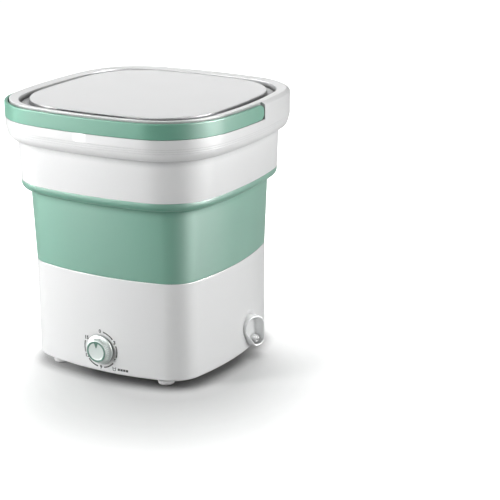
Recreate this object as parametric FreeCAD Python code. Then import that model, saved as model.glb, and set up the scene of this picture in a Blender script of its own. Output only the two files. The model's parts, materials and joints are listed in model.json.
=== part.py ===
"""Folding countertop washer: a wash tub that slides down over its base as a soft wall turns inside out.

Millimetres, +Z up. The origin is under the centre of the washer, and the control knob faces -Y. Heights are
measured from a datum 7 mm above the floor, and the last lines of the script lift every piece by that much,
so that the written feet stand on z = 0. Every function makes one loose piece, or one group of identical
pieces, and the list at the end writes each to its own file.
"""
import FreeCAD, Part
import math
import os

from FreeCAD import Vector

# ---------------------------------------------------------------- driving dimensions

RIM_HALF = 172.0  # half the width over the carrying handle
GROUND = -7.0  # the floor's height
TOTAL_HEIGHT = 367.0
FOOT_HEIGHT = 11.0
BASE_HALF = 138.5
BASE_TOP = 142.0
LIP_BOTTOM = 244.0  # where the soft wall meets the overhanging tub
LIP_TOP = 256.4
COLLAR_BOTTOM = 313.0
FOLD_TRAVEL = 186.0
SHELL = 2.8  # thickness of the moulded shells
SOFT_WALL = 2.0
GAP = 0.1  # between pieces that are fitted together
RUNNING = 0.05  # radial clearance of anything that turns

# ---------------------------------------------------------------- sizes worked out from them

BASE_BOTTOM = GROUND + FOOT_HEIGHT
BASE_CORNER = BASE_HALF / 3
BASE_SIDE = BASE_HALF * 2.9
BASE_EDGE = 4.0  # rounding under the base
BASE_UNDERSIDE = 9.0  # width of the flat ring under the skirt's edge
BASE_DRAFT = 0.4  # the base is this much narrower at the bottom, each side

TUB_HALF = RIM_HALF - 15.5  # outside of the tub at the collar
TUB_CORNER = TUB_HALF * 0.51
TUB_SIDE = TUB_HALF * 3.9
TUB_DRAFT = 2.1  # the tub is this much narrower at its lower edge, each side
TUB_TOP = 349.4

FLOOR_TOP = 71.0  # inside floor of the wash tub
FLOOR_BOTTOM = FLOOR_TOP - 3.0
BOSS_RADIUS = 4.5  # screw bosses under the wash floor

HANDLE_TOP = TOTAL_HEIGHT - 3.0
HANDLE_BOTTOM = HANDLE_TOP - 20.3
HANDLE_THICKNESS = 4.5
PIVOT_HEIGHT = (HANDLE_TOP + HANDLE_BOTTOM) / 2
HANDLE_END = 9.0  # how far the handle runs past its pivot
HANDLE_SWING_RADIUS = (HANDLE_TOP - HANDLE_BOTTOM) / 2 - 0.05  # its rounded ends, about the pivot
RECESS_END = HANDLE_END + 2.7
RECESS_BOTTOM = HANDLE_BOTTOM - 0.2
PIVOT_RADIUS = 3.0
PIVOT_AT = Vector(0, 0, PIVOT_HEIGHT)

RIM = RIM_HALF - TUB_HALF  # outward offset of the collar's and the handle's outer face from the tub outline
COLLAR_SKIN = 2.4
RECESS_FACE = RIM - HANDLE_THICKNESS - 2.1
SEAT_TOP = 352.0  # ledge that the lid's seal rests on
SEAT_WIDTH = 7.0
STEPS_TOP = 334.5  # the collar narrows in fine steps below this height
LID_GAP = 2.5  # groove between lid and collar
COLLAR_INSIDE = -3.5
LID_EDGE = COLLAR_INSIDE - LID_GAP
LID_TOP = 365.0
LID_FRAME_TOP = LID_TOP - 6.8
LID_FRAME_BOTTOM = LID_FRAME_TOP - 3.4
PANEL_HALF = 143.0

KNOB_HEIGHT = 37.0  # centre of the knob above the floor
KNOB_BASE_RADIUS = 21.0
KNOB_FACE_RADIUS = 15.6
KNOB_DEPTH = 9.5
KNOB_START = 0.9  # gap between the wall and the knob
KNOB_FACE = KNOB_START + KNOB_DEPTH
KNOB_CENTRE = Vector(0, -BASE_HALF, KNOB_HEIGHT)
TRIM_RADII = (14.7, 12.2)  # groove for the coloured ring in the knob's face
TRIM_DEPTH = 1.0
SHAFT_IN_KNOB = 6.5
TIMER_SHAFT_RADIUS = 3.0
TIMER_SHAFT_FLAT = 2.0  # from the timer shaft's centre to its driving flat
TIMER_SCREWS_AT = 12.0  # each side of the knob's axis
TIMER_SCREW_RADIUS = 1.5
TIMER_SCREW_SINK = 1.9  # depth of the seats for the timer screws' heads

GEAR_MODULE = 1.25
LARGE_TEETH = 36
SMALL_TEETH = 12
GEAR_SPACING = GEAR_MODULE * (LARGE_TEETH + SMALL_TEETH) / 2
IDLER_AT = Vector(-GEAR_SPACING, 0, 0)
MOTOR_ANGLE = 120.0
MOTOR_AT = IDLER_AT + Vector(
    GEAR_SPACING * math.cos(math.radians(MOTOR_ANGLE)),
    GEAR_SPACING * math.sin(math.radians(MOTOR_ANGLE)),
    0,
)
CASE_TOP = 66.0
CASE_SPLIT = 44.5
CASE_BOTTOM = 42.0
LOW_GEARS = (46.0, 54.0)  # heights of the output gear and the small idler gear
HIGH_GEARS = (55.5, 60.5)  # heights of the large idler gear and the motor pinion
CASE_RADIUS = 27.5
PINION_CASE_RADIUS = 18.0
CASE_EARS = (
    Vector(21.6, 21.6, 0),
    Vector(21.6, -21.6, 0),
    IDLER_AT + Vector(-21.6, -21.6, 0),
    MOTOR_AT + Vector(0, 22.0, 0),
)
EAR_RADIUS = 5.0
CASE_SCREW_RADIUS = 1.6
IDLER_PIN_RADIUS = 2.0
BEARING_RADIUS = 7.0
BEARING_SEAT_RADIUS = 9.5
BEARING_BOTTOM = 38.5
SHAFT_RADIUS = 4.0
SHAFT_FLAT = 3.0  # from the shaft's centre to its driving flat
MOTOR_SHAFT_RADIUS = 1.6
MOTOR_RADIUS = 18.0
MOTOR_TOP = CASE_BOTTOM - GAP
MOTOR_BOTTOM = 13.0

IMPELLER_RADIUS = 78.0
IMPELLER_BOTTOM = FLOOR_TOP + 1.6
IMPELLER_HUB_TOP = 91.0
IMPELLER_BLADES = 6

DRAIN_Y = 36.0
DRAIN_Z = 20.0
SUMP = Vector(90.0, DRAIN_Y, 0)
STRAINER_RADIUS = 12.3
STRAINER_THICKNESS = 1.5
BOWL_Y = 30.0
BOWL_Z = 39.0
BOWL_RADIUS = 16.5
MOUTH_RADIUS = 10.5
OUTLET_REAR = 154.0  # how far the outlet's sloping rim reaches at its rear edge
OUTLET_FRONT = 142.0  # and at its front edge
OUTLET_RIM = 2.2
BOWL_FLOOR = BASE_HALF + 1.0
NOZZLE_RADIUS = 5.5
NOZZLE_BORE = 4.0
NOZZLE_LENGTH = 7.0
NOZZLE_END = BOWL_FLOOR + NOZZLE_LENGTH
SPIGOT_RADIUS = 6.5
SPIGOT_BORE = 4.5
SPIGOT_END = 50.0
THREAD_RADIUS = 7.5
HOSE_INSIDE = SPIGOT_RADIUS + RUNNING
HOSE_WALL = 2.0

SOCKET_HEIGHT = 34.0
SOCKET_CENTRE = Vector(0, BASE_HALF, SOCKET_HEIGHT)
SOCKET_RADIUS = 5.5
COVER_SCREW_AT = Vector(98.0, 98.0, 0)
COVER_SCREW_RADIUS = 1.25
COVER_SCREW_LENGTH = 14.0
FOOT_AT = Vector(85.5, 108.5, 0)
FOOT_RADIUS = 12.0
FOOT_PLUG_RADIUS = 3.0
PAD_RADIUS = FOOT_RADIUS - 4
PAD_SINK = 2.4  # depth of the pad's seat in the foot
LEAD_RADIUS = 1.0
TIMER_REAR = -110.2  # where the leads reach the timer

ORIGIN = Vector(0, 0, 0)
UP = Vector(0, 0, 1)
FULL_TURN = 360.0

# ---------------------------------------------------------------- geometry helpers


def rounded_path(corners, radii, closed):
    """Straight edges through the corners, with each corner rounded by its radius."""
    count = len(corners)
    arrivals = []
    departures = []
    arcs = []
    for i, corner in enumerate(corners):
        radius = radii[i]
        if radius == 0:
            arrivals.append(corner)
            departures.append(corner)
            continue
        back = (corners[i - 1] - corner).normalize()
        ahead = (corners[(i + 1) % count] - corner).normalize()
        half_angle = back.getAngle(ahead) / 2
        trim = radius / math.tan(half_angle)
        bisector = (back + ahead).normalize()
        middle = corner + bisector * (radius / math.sin(half_angle) - radius)
        arrivals.append(corner + back * trim)
        departures.append(corner + ahead * trim)
        arcs.append((i, Part.Arc(arrivals[i], middle, departures[i]).toShape()))
    rounds = dict(arcs)
    edges = []
    for i in range(count):
        if i in rounds:
            edges.append(rounds[i])
        following = (i + 1) % count
        last = i == count - 1
        if last and not closed:
            continue
        if departures[i].distanceToPoint(arrivals[following]) > 1e-6:
            edges.append(Part.makeLine(departures[i], arrivals[following]))
    return Part.Wire(edges)


def section(points):
    """A face in the XZ plane through points (outward, height) or (outward, height, corner radius)."""
    corners = [Vector(point[0], 0, point[1]) for point in points]
    radii = [point[2] if len(point) > 2 else 0 for point in points]
    return Part.Face(rounded_path(corners, radii, closed=True))


def turned(points):
    """A body turned about the Z axis from a section of (radius, height) points."""
    return section(points).revolve(ORIGIN, UP, FULL_TURN)


def rod(radius, bottom, top, at=ORIGIN):
    return Part.makeCylinder(radius, top - bottom, Vector(at.x, at.y, bottom))


def prism(sides, radius, bottom, top):
    """An upright prism on a regular polygon whose corners are a radius from the Z axis."""
    turns = [2 * math.pi * i / sides for i in range(sides + 1)]
    outline = Part.makePolygon([Vector(radius * math.cos(t), radius * math.sin(t), bottom) for t in turns])
    return Part.Face(outline).extrude(UP * (top - bottom))


def tube(outer, inner, bottom, top, at=ORIGIN):
    return rod(outer, bottom, top, at).cut(rod(inner, bottom, top, at))


def block(low, high):
    """A box between two opposite corners."""
    size = high - low
    return Part.makeBox(size.x, size.y, size.z, low)


def fused(shapes):
    """One solid from shapes that touch or overlap."""
    result = shapes[0].multiFuse(shapes[1:]).removeSplitter()
    return result.Solids[0] if len(result.Solids) == 1 else result


def around(shape, count, start=0.0):
    """Copies of a shape, evenly spaced about the Z axis."""
    step = FULL_TURN / count
    return [shape.rotated(ORIGIN, UP, start + step * i) for i in range(count)]


def at_corners(shape):
    """A copy of a shape in each quarter, mirrored across both middle planes."""
    mirrored = shape.mirror(ORIGIN, Vector(1, 0, 0))
    pair = [shape, mirrored]
    return pair + [copy.mirror(ORIGIN, Vector(0, 1, 0)) for copy in pair]


def facing_front(shape, at):
    """Turns a shape built along +Z to face -Y, keeping its own +Y upwards."""
    return shape.rotated(ORIGIN, Vector(1, 0, 0), 90).translated(at)


def facing_back(shape, at):
    """Turns a shape built along +Z to face +Y, keeping its own +Y upwards."""
    return shape.rotated(ORIGIN, Vector(1, 0, 0), 90).rotated(ORIGIN, UP, 180).translated(at)


def facing_right(shape, at):
    """Turns a shape built along +Z to face +X, with its own X along +Y and its own Y upwards."""
    return shape.rotated(ORIGIN, Vector(1, 1, 1), 120).translated(at)


class Outline:
    """A square with bowed sides and round corners, seen from above, all its arcs tangent."""

    def __init__(self, half, corner, side):
        self.half = half
        self.corner = corner
        self.side = side
        side_centre = side - half
        reach = side - corner
        # The corner's centre is on the diagonal, where its arc touches both side arcs from inside.
        corner_centre = (math.sqrt(2 * reach**2 - side_centre**2) - side_centre) / 2
        meet = math.degrees(math.atan2(corner_centre, corner_centre + side_centre))
        self.arcs = (
            (Vector(-side_centre, 0, 0), side, -meet, 2 * meet),
            (Vector(corner_centre, corner_centre, 0), corner, meet, 90 - 2 * meet),
        )

    def offset(self, outward):
        """The outline that runs outside this one at a constant distance."""
        return Outline(self.half + outward, self.corner + outward, self.side + outward)

    def ring(self, points):
        """A ring whose section has points (offset from the outline, height[, corner radius])."""
        face = section(points)
        stretches = []
        for centre, radius, start, sweep in self.arcs:
            stretch = face.translated(Vector(radius, 0, 0)).revolve(ORIGIN, UP, sweep)
            stretch = stretch.rotated(ORIGIN, UP, start).translated(centre)
            stretches.extend(around(stretch, 4))
        return fused(stretches)

    def plate(self, bottom, top):
        """A flat plate that fills the outline."""
        edges = []
        for centre, radius, start, sweep in self.arcs:
            arc = Part.makeCircle(radius, ORIGIN, UP, start, start + sweep).translated(centre)
            edges.extend(around(arc, 4))
        wire = Part.Wire(Part.__sortEdges__(edges))
        face = Part.Face(wire).translated(Vector(0, 0, bottom))
        return face.extrude(Vector(0, 0, top - bottom))


BASE = Outline(BASE_HALF, BASE_CORNER, BASE_SIDE)
TUB = Outline(TUB_HALF, TUB_CORNER, TUB_SIDE)
PANEL = Outline(PANEL_HALF, PANEL_HALF * 0.62, PANEL_HALF * 6)


def cable(corners, radius, bend):
    """A round cable along a path with rounded corners."""
    radii = [0] + [bend] * (len(corners) - 2) + [0]
    path = rounded_path(corners, radii, closed=False)
    start = Part.Wire(Part.makeCircle(radius, corners[0], corners[1] - corners[0]))
    return path.makePipeShell([start], True, False)


def screw(shank_radius, shank_length, head_radius, head_height):
    """A pan-head screw hanging from z = 0, with its head above and a cross recess in it."""
    shank = rod(shank_radius, -shank_length, 0.2)
    head = turned([(0, 0), (head_radius, 0), (head_radius, head_height, head_height * 0.6), (0, head_height)])
    recess_half = Vector(head_radius * 0.55, head_radius * 0.15, 0)
    slot = block(-recess_half + UP * head_height * 0.45, recess_half + UP * head_height * 1.1)
    return fused([shank, head]).cut(slot).cut(slot.rotated(ORIGIN, UP, 90))


def involute(angle):
    return math.tan(angle) - angle


def gear(teeth, bottom, top, phase):
    """A spur gear on the Z axis, with one tooth centred phase degrees from +X."""
    pressure_angle = math.radians(25)
    backlash = 0.16
    flank_points = 6
    pitch_radius = GEAR_MODULE * teeth / 2
    base_radius = pitch_radius * math.cos(pressure_angle)
    tip_radius = pitch_radius + 0.9 * GEAR_MODULE
    root_radius = pitch_radius - 1.2 * GEAR_MODULE
    half_at_pitch = math.pi / (2 * teeth) - backlash / (2 * pitch_radius)
    flank_start = max(base_radius, root_radius)

    def half_tooth(radius):
        """Half a tooth's angular width at a radius."""
        return half_at_pitch + involute(pressure_angle) - involute(math.acos(min(1.0, base_radius / radius)))

    def polar(radius, angle):
        return Vector(radius * math.cos(angle), radius * math.sin(angle), 0)

    def flank(centre, side):
        step = (tip_radius - flank_start) / (flank_points - 1)
        radii = [flank_start + step * i for i in range(flank_points)]
        curve = Part.BSplineCurve()
        curve.interpolate([polar(r, centre + side * half_tooth(r)) for r in radii])
        return curve.toShape()

    edges = []
    pitch = 2 * math.pi / teeth
    foot_angle = half_tooth(flank_start)
    for i in range(teeth):
        centre = math.radians(phase) + i * pitch
        edges.append(flank(centre, -1))
        tip = [polar(tip_radius, centre + side * half_tooth(tip_radius)) for side in (-1, 0, 1)]
        edges.append(Part.Arc(*tip).toShape())
        edges.append(flank(centre, 1))
        foot_ends = (centre + foot_angle, centre + pitch - foot_angle)
        if root_radius < flank_start:
            for angle in foot_ends:
                edges.append(Part.makeLine(polar(flank_start, angle), polar(root_radius, angle)))
        middle = centre + pitch / 2
        root = [polar(root_radius, angle) for angle in (foot_ends[0], middle, foot_ends[1])]
        edges.append(Part.Arc(*root).toShape())
    wire = Part.Wire(Part.__sortEdges__(edges))
    return Part.Face(wire).extrude(Vector(0, 0, top - bottom)).translated(Vector(0, 0, bottom))


def egg(grow, bottom, top):
    """The drain outlet's teardrop as a prism facing +X: a large and a small circle joined by tangents."""
    bowl = Vector(BOWL_Y, BOWL_Z, 0)
    mouth = Vector(DRAIN_Y, DRAIN_Z, 0)
    line = mouth - bowl
    aim = math.atan2(line.y, line.x)
    spread = math.acos((BOWL_RADIUS - MOUTH_RADIUS) / line.Length)

    def on(centre, radius, angle):
        return centre + Vector(math.cos(angle), math.sin(angle), 0) * (radius + grow)

    bowl_points = [on(bowl, BOWL_RADIUS, aim + turn) for turn in (spread, math.pi, -spread)]
    mouth_points = [on(mouth, MOUTH_RADIUS, aim + turn) for turn in (-spread, 0, spread)]
    edges = [
        Part.Arc(*bowl_points).toShape(),
        Part.makeLine(bowl_points[2], mouth_points[0]),
        Part.Arc(*mouth_points).toShape(),
        Part.makeLine(mouth_points[2], bowl_points[0]),
    ]
    upright = Part.Face(Part.Wire(edges)).extrude(Vector(0, 0, top - bottom))
    return facing_right(upright, Vector(bottom, 0, 0))


# ---------------------------------------------------------------- base


def base_shell():
    """Skirt, wash floor, screw bosses and drain spigot, in one moulding that is open underneath."""
    turned_in = -BASE_UNDERSIDE
    skirt = BASE.ring([
        (0, BASE_TOP),
        (-BASE_DRAFT, BASE_BOTTOM, BASE_EDGE),
        (turned_in, BASE_BOTTOM),
        (turned_in, BASE_BOTTOM + SHELL),
        (-BASE_DRAFT - SHELL, BASE_BOTTOM + SHELL, BASE_EDGE - SHELL),
        (-SHELL, BASE_TOP),
    ])
    floor = BASE.offset(-SHELL / 2).plate(FLOOR_BOTTOM, FLOOR_TOP)
    boss_bottom = BASE_BOTTOM + SHELL + GAP
    screw_head_room = 3.2
    seal_boss_radius = 12.0
    seal_seat_radius = 9.0
    additions = at_corners(rod(BOSS_RADIUS, boss_bottom, FLOOR_BOTTOM, COVER_SCREW_AT))
    additions += [rod(BOSS_RADIUS, CASE_TOP + GAP, FLOOR_BOTTOM, ear) for ear in CASE_EARS]
    additions.append(rod(seal_boss_radius, CASE_TOP + 0.4, FLOOR_BOTTOM))
    additions.append(rod(SPIGOT_RADIUS, SPIGOT_END, FLOOR_BOTTOM, SUMP))
    shell = fused([skirt, floor] + additions)
    screw_end = boss_bottom + COVER_SCREW_LENGTH
    cuts = at_corners(rod(COVER_SCREW_RADIUS + RUNNING, boss_bottom, screw_end, COVER_SCREW_AT))
    cuts += [rod(CASE_SCREW_RADIUS + RUNNING, CASE_TOP, FLOOR_TOP - 1.4, ear) for ear in CASE_EARS]
    cuts.append(rod(seal_seat_radius, CASE_TOP, FLOOR_TOP))
    cuts.append(rod(SPIGOT_BORE, SPIGOT_END, FLOOR_TOP, SUMP))
    cuts.append(rod(STRAINER_RADIUS + 0.2, FLOOR_TOP - STRAINER_THICKNESS - 0.2, FLOOR_TOP, SUMP))
    cuts.append(facing_front(through_wall(5.0), KNOB_CENTRE))
    for beside in timer_screw_places():
        cuts.append(facing_front(through_wall(TIMER_SCREW_RADIUS + RUNNING), beside))
        cuts.append(facing_front(rod(screw_head_room, -TIMER_SCREW_SINK, 5), beside))
    cuts.append(facing_right(through_wall(THREAD_RADIUS + GAP), Vector(BASE_HALF, DRAIN_Y, DRAIN_Z)))
    cuts.append(facing_back(through_wall(SOCKET_RADIUS + GAP), SOCKET_CENTRE))
    return shell.cut(cuts)


def through_wall(radius):
    """A rod through the base's wall, for cutting a hole, with the wall's outer face at z = 0."""
    return rod(radius, -12, 5)


def timer_screw_places():
    return [KNOB_CENTRE + Vector(TIMER_SCREWS_AT * side, 0, 0) for side in (-1, 1)]


def bottom_cover():
    """Plate that closes the base, with air slots under the motor and holes for screws and feet."""
    top = BASE_BOTTOM + SHELL
    plate = BASE.offset(-BASE_UNDERSIDE - 0.4).plate(BASE_BOTTOM, top)
    cuts = at_corners(rod(1.8, BASE_BOTTOM, top, COVER_SCREW_AT))
    cuts += at_corners(rod(FOOT_PLUG_RADIUS + GAP, BASE_BOTTOM, top, FOOT_AT))
    slots = 7
    slot_spacing = 6.0
    slot_half = Vector(1.2, 16, 0)
    for i in range(slots):
        middle = Vector(MOTOR_AT.x + (i - (slots - 1) / 2) * slot_spacing, MOTOR_AT.y, 0)
        cuts.append(block(middle - slot_half, middle + slot_half + UP * 20))
    return plate.cut(cuts)


def cover_screws():
    one = screw(COVER_SCREW_RADIUS, COVER_SCREW_LENGTH, 3.2, 1.8).rotated(ORIGIN, Vector(1, 0, 0), 180)
    return at_corners(one.translated(COVER_SCREW_AT + UP * BASE_BOTTOM))


def feet():
    """Round feet with a plug on top that snaps into the cover, hollow below for a pad."""
    top = BASE_BOTTOM - GAP
    bottom = GROUND + 1.2
    body = turned([(0, bottom), (FOOT_RADIUS - 0.6, bottom, 3.0), (FOOT_RADIUS, top), (0, top)])
    plug = rod(FOOT_PLUG_RADIUS, top, BASE_BOTTOM + SHELL + 1)
    pad_seat = rod(PAD_RADIUS, GROUND, GROUND + PAD_SINK)
    return at_corners(fused([body, plug]).cut(pad_seat).translated(FOOT_AT))


def foot_pads():
    """Soft pads under the feet, on which the washer stands."""
    radius = PAD_RADIUS - GAP
    top = GROUND + PAD_SINK - GAP
    pad = turned([(0, GROUND), (radius, GROUND, 0.5), (radius, top), (0, top)])
    return at_corners(pad.translated(FOOT_AT))


def folding_wall():
    """Soft wall from the top of the base up to the rounded lip that hangs under the tub."""
    foot_offset = -0.3
    top_offset = 3.6
    wall = BASE.ring([
        (foot_offset, BASE_TOP + GAP),
        (top_offset, LIP_BOTTOM + SOFT_WALL),
        (top_offset - SOFT_WALL, LIP_BOTTOM + SOFT_WALL),
        (foot_offset - SOFT_WALL, BASE_TOP + GAP),
    ])
    lip_outside = -TUB_DRAFT
    lip_inside = BASE_HALF + top_offset - SOFT_WALL - TUB_HALF
    rounding = 12.0
    lip = TUB.ring([
        (lip_outside, LIP_TOP - GAP),
        (lip_outside, LIP_BOTTOM, rounding),
        (lip_inside, LIP_BOTTOM),
        (lip_inside, LIP_BOTTOM + SOFT_WALL),
        (lip_outside - SHELL, LIP_BOTTOM + SOFT_WALL, rounding - SHELL),
        (lip_outside - SHELL, LIP_TOP - GAP),
    ])
    opening = BASE.offset(top_offset - SOFT_WALL).plate(LIP_BOTTOM - 1, LIP_BOTTOM + SOFT_WALL + 1)
    return fused([wall, lip.cut(opening)])


# ---------------------------------------------------------------- tub, collar and handle


def upper_tub():
    """Rigid upper part of the wash tub, a plain open wall that widens upwards."""
    flare = TUB_DRAFT * (TUB_TOP - COLLAR_BOTTOM) / (COLLAR_BOTTOM - LIP_TOP)
    return TUB.ring([
        (-TUB_DRAFT, LIP_TOP),
        (flare, TUB_TOP),
        (flare - SHELL, TUB_TOP),
        (-TUB_DRAFT - SHELL, LIP_TOP),
    ])


def collar_body():
    """Hollow ring that caps the tub: crowned top, inner lid seat, stepped outside and rounded underside."""
    skin = COLLAR_SKIN
    step_depth = 0.7
    step_height = 3.0
    steps = 3
    waist = RIM - steps * step_depth
    waist_top = STEPS_TOP - steps * step_height
    seat_bottom = SEAT_TOP - skin
    roof = TOTAL_HEIGHT - 2.8
    recess_skin = RECESS_FACE - skin
    ledge = HANDLE_BOTTOM - 0.2 - skin
    tub_side = 0.4 + GAP
    underside = 12.0
    outside = [(waist, COLLAR_BOTTOM, underside)]
    for i in range(steps):
        outward = waist + i * step_depth
        height = waist_top + i * step_height
        outside.append((outward, height))
        outside.append((outward + step_depth, height + step_depth / 2))
    return TUB.ring(outside + [
        (RIM, HANDLE_TOP - 0.6, 1.2),
        (RIM - 5.5, TOTAL_HEIGHT, 5),
        (COLLAR_INSIDE, roof + 0.4, 1.0),
        (COLLAR_INSIDE, SEAT_TOP),
        (COLLAR_INSIDE - SEAT_WIDTH, SEAT_TOP),
        (COLLAR_INSIDE - SEAT_WIDTH, seat_bottom),
        (COLLAR_INSIDE + skin, seat_bottom),
        (COLLAR_INSIDE + skin, roof - 2),
        (recess_skin, roof),
        (recess_skin, ledge),
        (RIM - skin, ledge),
        (RIM - skin, STEPS_TOP),
        (waist - skin, waist_top),
        (waist - skin, COLLAR_BOTTOM + skin, underside - skin),
        (tub_side, COLLAR_BOTTOM + skin),
        (tub_side, COLLAR_BOTTOM),
    ])


def finger_scoop(extra):
    """Ball that hollows the collar's front just under the handle, for a fingertip."""
    half_width = 14.0
    depth = 4.0
    radius = (half_width**2 + depth**2) / (2 * depth)
    centre = Vector(0, -(TUB_HALF + RIM) - radius + depth, HANDLE_BOTTOM + 7)
    return Part.makeSphere(radius + extra, centre)


def collar():
    """The collar, with the handle's recess round its front half and the finger scoop."""
    skin = COLLAR_SKIN
    outside = RIM + 5
    above = TOTAL_HEIGHT + 5
    recess = TUB.ring([
        (RECESS_FACE, RECESS_BOTTOM),
        (outside, RECESS_BOTTOM),
        (outside, above),
        (RECESS_FACE, above),
    ]).common(block(Vector(-RIM_HALF, -TUB_HALF - outside, 0), Vector(RIM_HALF, RECESS_END, above)))
    rear_hollow = TUB.ring([
        (RECESS_FACE - 0.4, HANDLE_BOTTOM),
        (RIM - skin, HANDLE_BOTTOM),
        (RIM - skin, HANDLE_TOP - 3),
        (RECESS_FACE - 0.4, HANDLE_TOP - 3),
    ]).common(block(Vector(-RIM_HALF, RECESS_END + skin, 0), Vector(RIM_HALF, RIM_HALF, TOTAL_HEIGHT)))
    scoop_bottom = HANDLE_BOTTOM - 18
    scoop_space = block(Vector(-30, -RIM_HALF, scoop_bottom), Vector(30, -TUB_HALF, RECESS_BOTTOM))
    inside_face = TUB.offset(RIM).plate(scoop_bottom, HANDLE_BOTTOM)
    scoop_lining = finger_scoop(skin).common(scoop_space).common(inside_face)
    pin_bore = rod(PIVOT_RADIUS, TUB_HALF - 5, RIM_HALF)
    pin_bores = [facing_right(pin_bore, PIVOT_AT).rotated(ORIGIN, UP, side) for side in (0, 180)]
    return fused([collar_body(), scoop_lining]).cut([recess, rear_hollow, finger_scoop(0)] + pin_bores)


def handle():
    """Carrying handle: a band round the front half of the collar, with rounded ends that turn on two pins."""
    inner = RIM - HANDLE_THICKNESS
    band = TUB.ring([
        (RIM, HANDLE_BOTTOM, 0.8),
        (RIM, HANDLE_TOP, 0.8),
        (inner, HANDLE_TOP, 0.5),
        (inner, HANDLE_BOTTOM, 0.5),
    ])
    half_width = RIM_HALF + 5
    front = block(Vector(-half_width, -half_width, RECESS_BOTTOM), Vector(half_width, 0, TOTAL_HEIGHT))
    ends = facing_right(rod(HANDLE_SWING_RADIUS, -half_width, half_width), PIVOT_AT)
    ends = ends.common(block(Vector(-half_width, -20, 0), Vector(half_width, HANDLE_END, TOTAL_HEIGHT)))
    pin_room = facing_right(rod(PIVOT_RADIUS + RUNNING, -half_width, half_width), PIVOT_AT)
    pin_room = pin_room.common(TUB.offset(inner + 3.2).plate(RECESS_BOTTOM, TOTAL_HEIGHT))
    return band.common(fused([front, ends])).cut(pin_room)


def handle_pins():
    """The two pins the handle turns on, each held in the collar's wall."""
    outer = RIM_HALF - HANDLE_THICKNESS + 3.0
    inner = TUB_HALF + RECESS_FACE - 7.4
    head = inner + 2.4
    pins = []
    for side in (0, 180):
        pin = fused([rod(PIVOT_RADIUS - 0.01, inner, outer), rod(PIVOT_RADIUS + 1.5, inner, head)])
        pins.append(facing_right(pin, PIVOT_AT).rotated(ORIGIN, UP, side))
    return pins


# ---------------------------------------------------------------- lid


def lid_panel():
    """Lift-off lid: a low frame inside the collar with a raised panel, open underneath."""
    frame = TUB.offset(LID_EDGE).plate(LID_FRAME_BOTTOM, LID_FRAME_TOP)
    raised = PANEL.plate(LID_FRAME_TOP - 1, LID_TOP)
    lid = fused([frame, raised])
    top_edges = [edge for edge in lid.Edges if edge.BoundBox.ZMin > LID_TOP - 0.01]
    lid = lid.makeFillet(3.0, top_edges)
    hollow = PANEL.offset(-2.6).plate(LID_FRAME_BOTTOM - 1, LID_TOP - 2.6)
    frame_hollow = TUB.offset(LID_EDGE - 2.4).plate(LID_FRAME_BOTTOM - 1, LID_FRAME_TOP - 2.0)
    return lid.cut([hollow, frame_hollow])


def lid_seal():
    """Soft ring under the lid's edge, resting on the collar's seat."""
    return TUB.offset(LID_EDGE).ring([
        (0, SEAT_TOP + GAP, 0.8),
        (0, LID_FRAME_BOTTOM - GAP),
        (-4.2, LID_FRAME_BOTTOM - GAP),
        (-4.2, SEAT_TOP + GAP, 0.8),
    ])


# ---------------------------------------------------------------- drive


def case_discs(shrink, bottom, top):
    """The gearbox's shape from above: a disc round each gear axis."""
    return fused([
        rod(CASE_RADIUS - shrink, bottom, top),
        rod(CASE_RADIUS - shrink, bottom, top, IDLER_AT),
        rod(PINION_CASE_RADIUS - shrink, bottom, top, MOTOR_AT),
    ])


def gearbox_case():
    """Upper part of the gearbox, with the top bearing's seat, screwed up under the wash floor."""
    ears = [rod(EAR_RADIUS, CASE_SPLIT, CASE_TOP, ear) for ear in CASE_EARS]
    body = fused([case_discs(0, CASE_SPLIT, CASE_TOP)] + ears)
    cavity = case_discs(2.2, CASE_SPLIT, CASE_TOP - 2.5)
    seat = rod(BEARING_SEAT_RADIUS, HIGH_GEARS[1] + 1.0, CASE_TOP)
    body = fused([body.cut(cavity), seat])
    cuts = [rod(BEARING_RADIUS + GAP / 2, CASE_SPLIT, CASE_TOP)]
    cuts += [rod(CASE_SCREW_RADIUS + 0.2, CASE_SPLIT, CASE_TOP, ear) for ear in CASE_EARS]
    cuts.append(rod(IDLER_PIN_RADIUS + GAP / 2, HIGH_GEARS[1], CASE_TOP - 1, IDLER_AT))
    return body.cut(cuts)


def gearbox_cover():
    """Lower part of the gearbox: a plate with the bottom bearing's seat, carrying the motor."""
    ears = [rod(EAR_RADIUS, CASE_BOTTOM, CASE_SPLIT - GAP, ear) for ear in CASE_EARS]
    seat_bottom = BEARING_BOTTOM - 0.5
    seat = rod(BEARING_SEAT_RADIUS, seat_bottom, CASE_BOTTOM)
    plate = fused([case_discs(0, CASE_BOTTOM, CASE_SPLIT - GAP), seat] + ears)
    cuts = [rod(BEARING_RADIUS + GAP / 2, seat_bottom, CASE_SPLIT)]
    cuts.append(rod(2.5, CASE_BOTTOM, CASE_SPLIT, MOTOR_AT))
    cuts += [rod(CASE_SCREW_RADIUS + 0.2, CASE_BOTTOM, CASE_SPLIT, ear) for ear in CASE_EARS]
    cuts += [rod(1.6, CASE_BOTTOM, CASE_SPLIT, at) for at in motor_screw_places()]
    cuts.append(rod(IDLER_PIN_RADIUS + GAP / 2, CASE_BOTTOM + 0.5, CASE_SPLIT, IDLER_AT))
    return plate.cut(cuts)


def gearbox_screws():
    length = FLOOR_TOP - 1.6 - CASE_BOTTOM
    one = screw(CASE_SCREW_RADIUS, length, 3.0, 2.0).rotated(ORIGIN, Vector(1, 0, 0), 180)
    return [one.translated(ear + UP * CASE_BOTTOM) for ear in CASE_EARS]


def shaft_bearings():
    """Two plain bushes that carry the impeller's shaft."""
    inner = SHAFT_RADIUS + RUNNING
    lower = tube(BEARING_RADIUS, inner, BEARING_BOTTOM, CASE_SPLIT - GAP)
    upper = tube(BEARING_RADIUS, inner, HIGH_GEARS[1] + 1.2, CASE_TOP)
    return [lower, upper]


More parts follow.
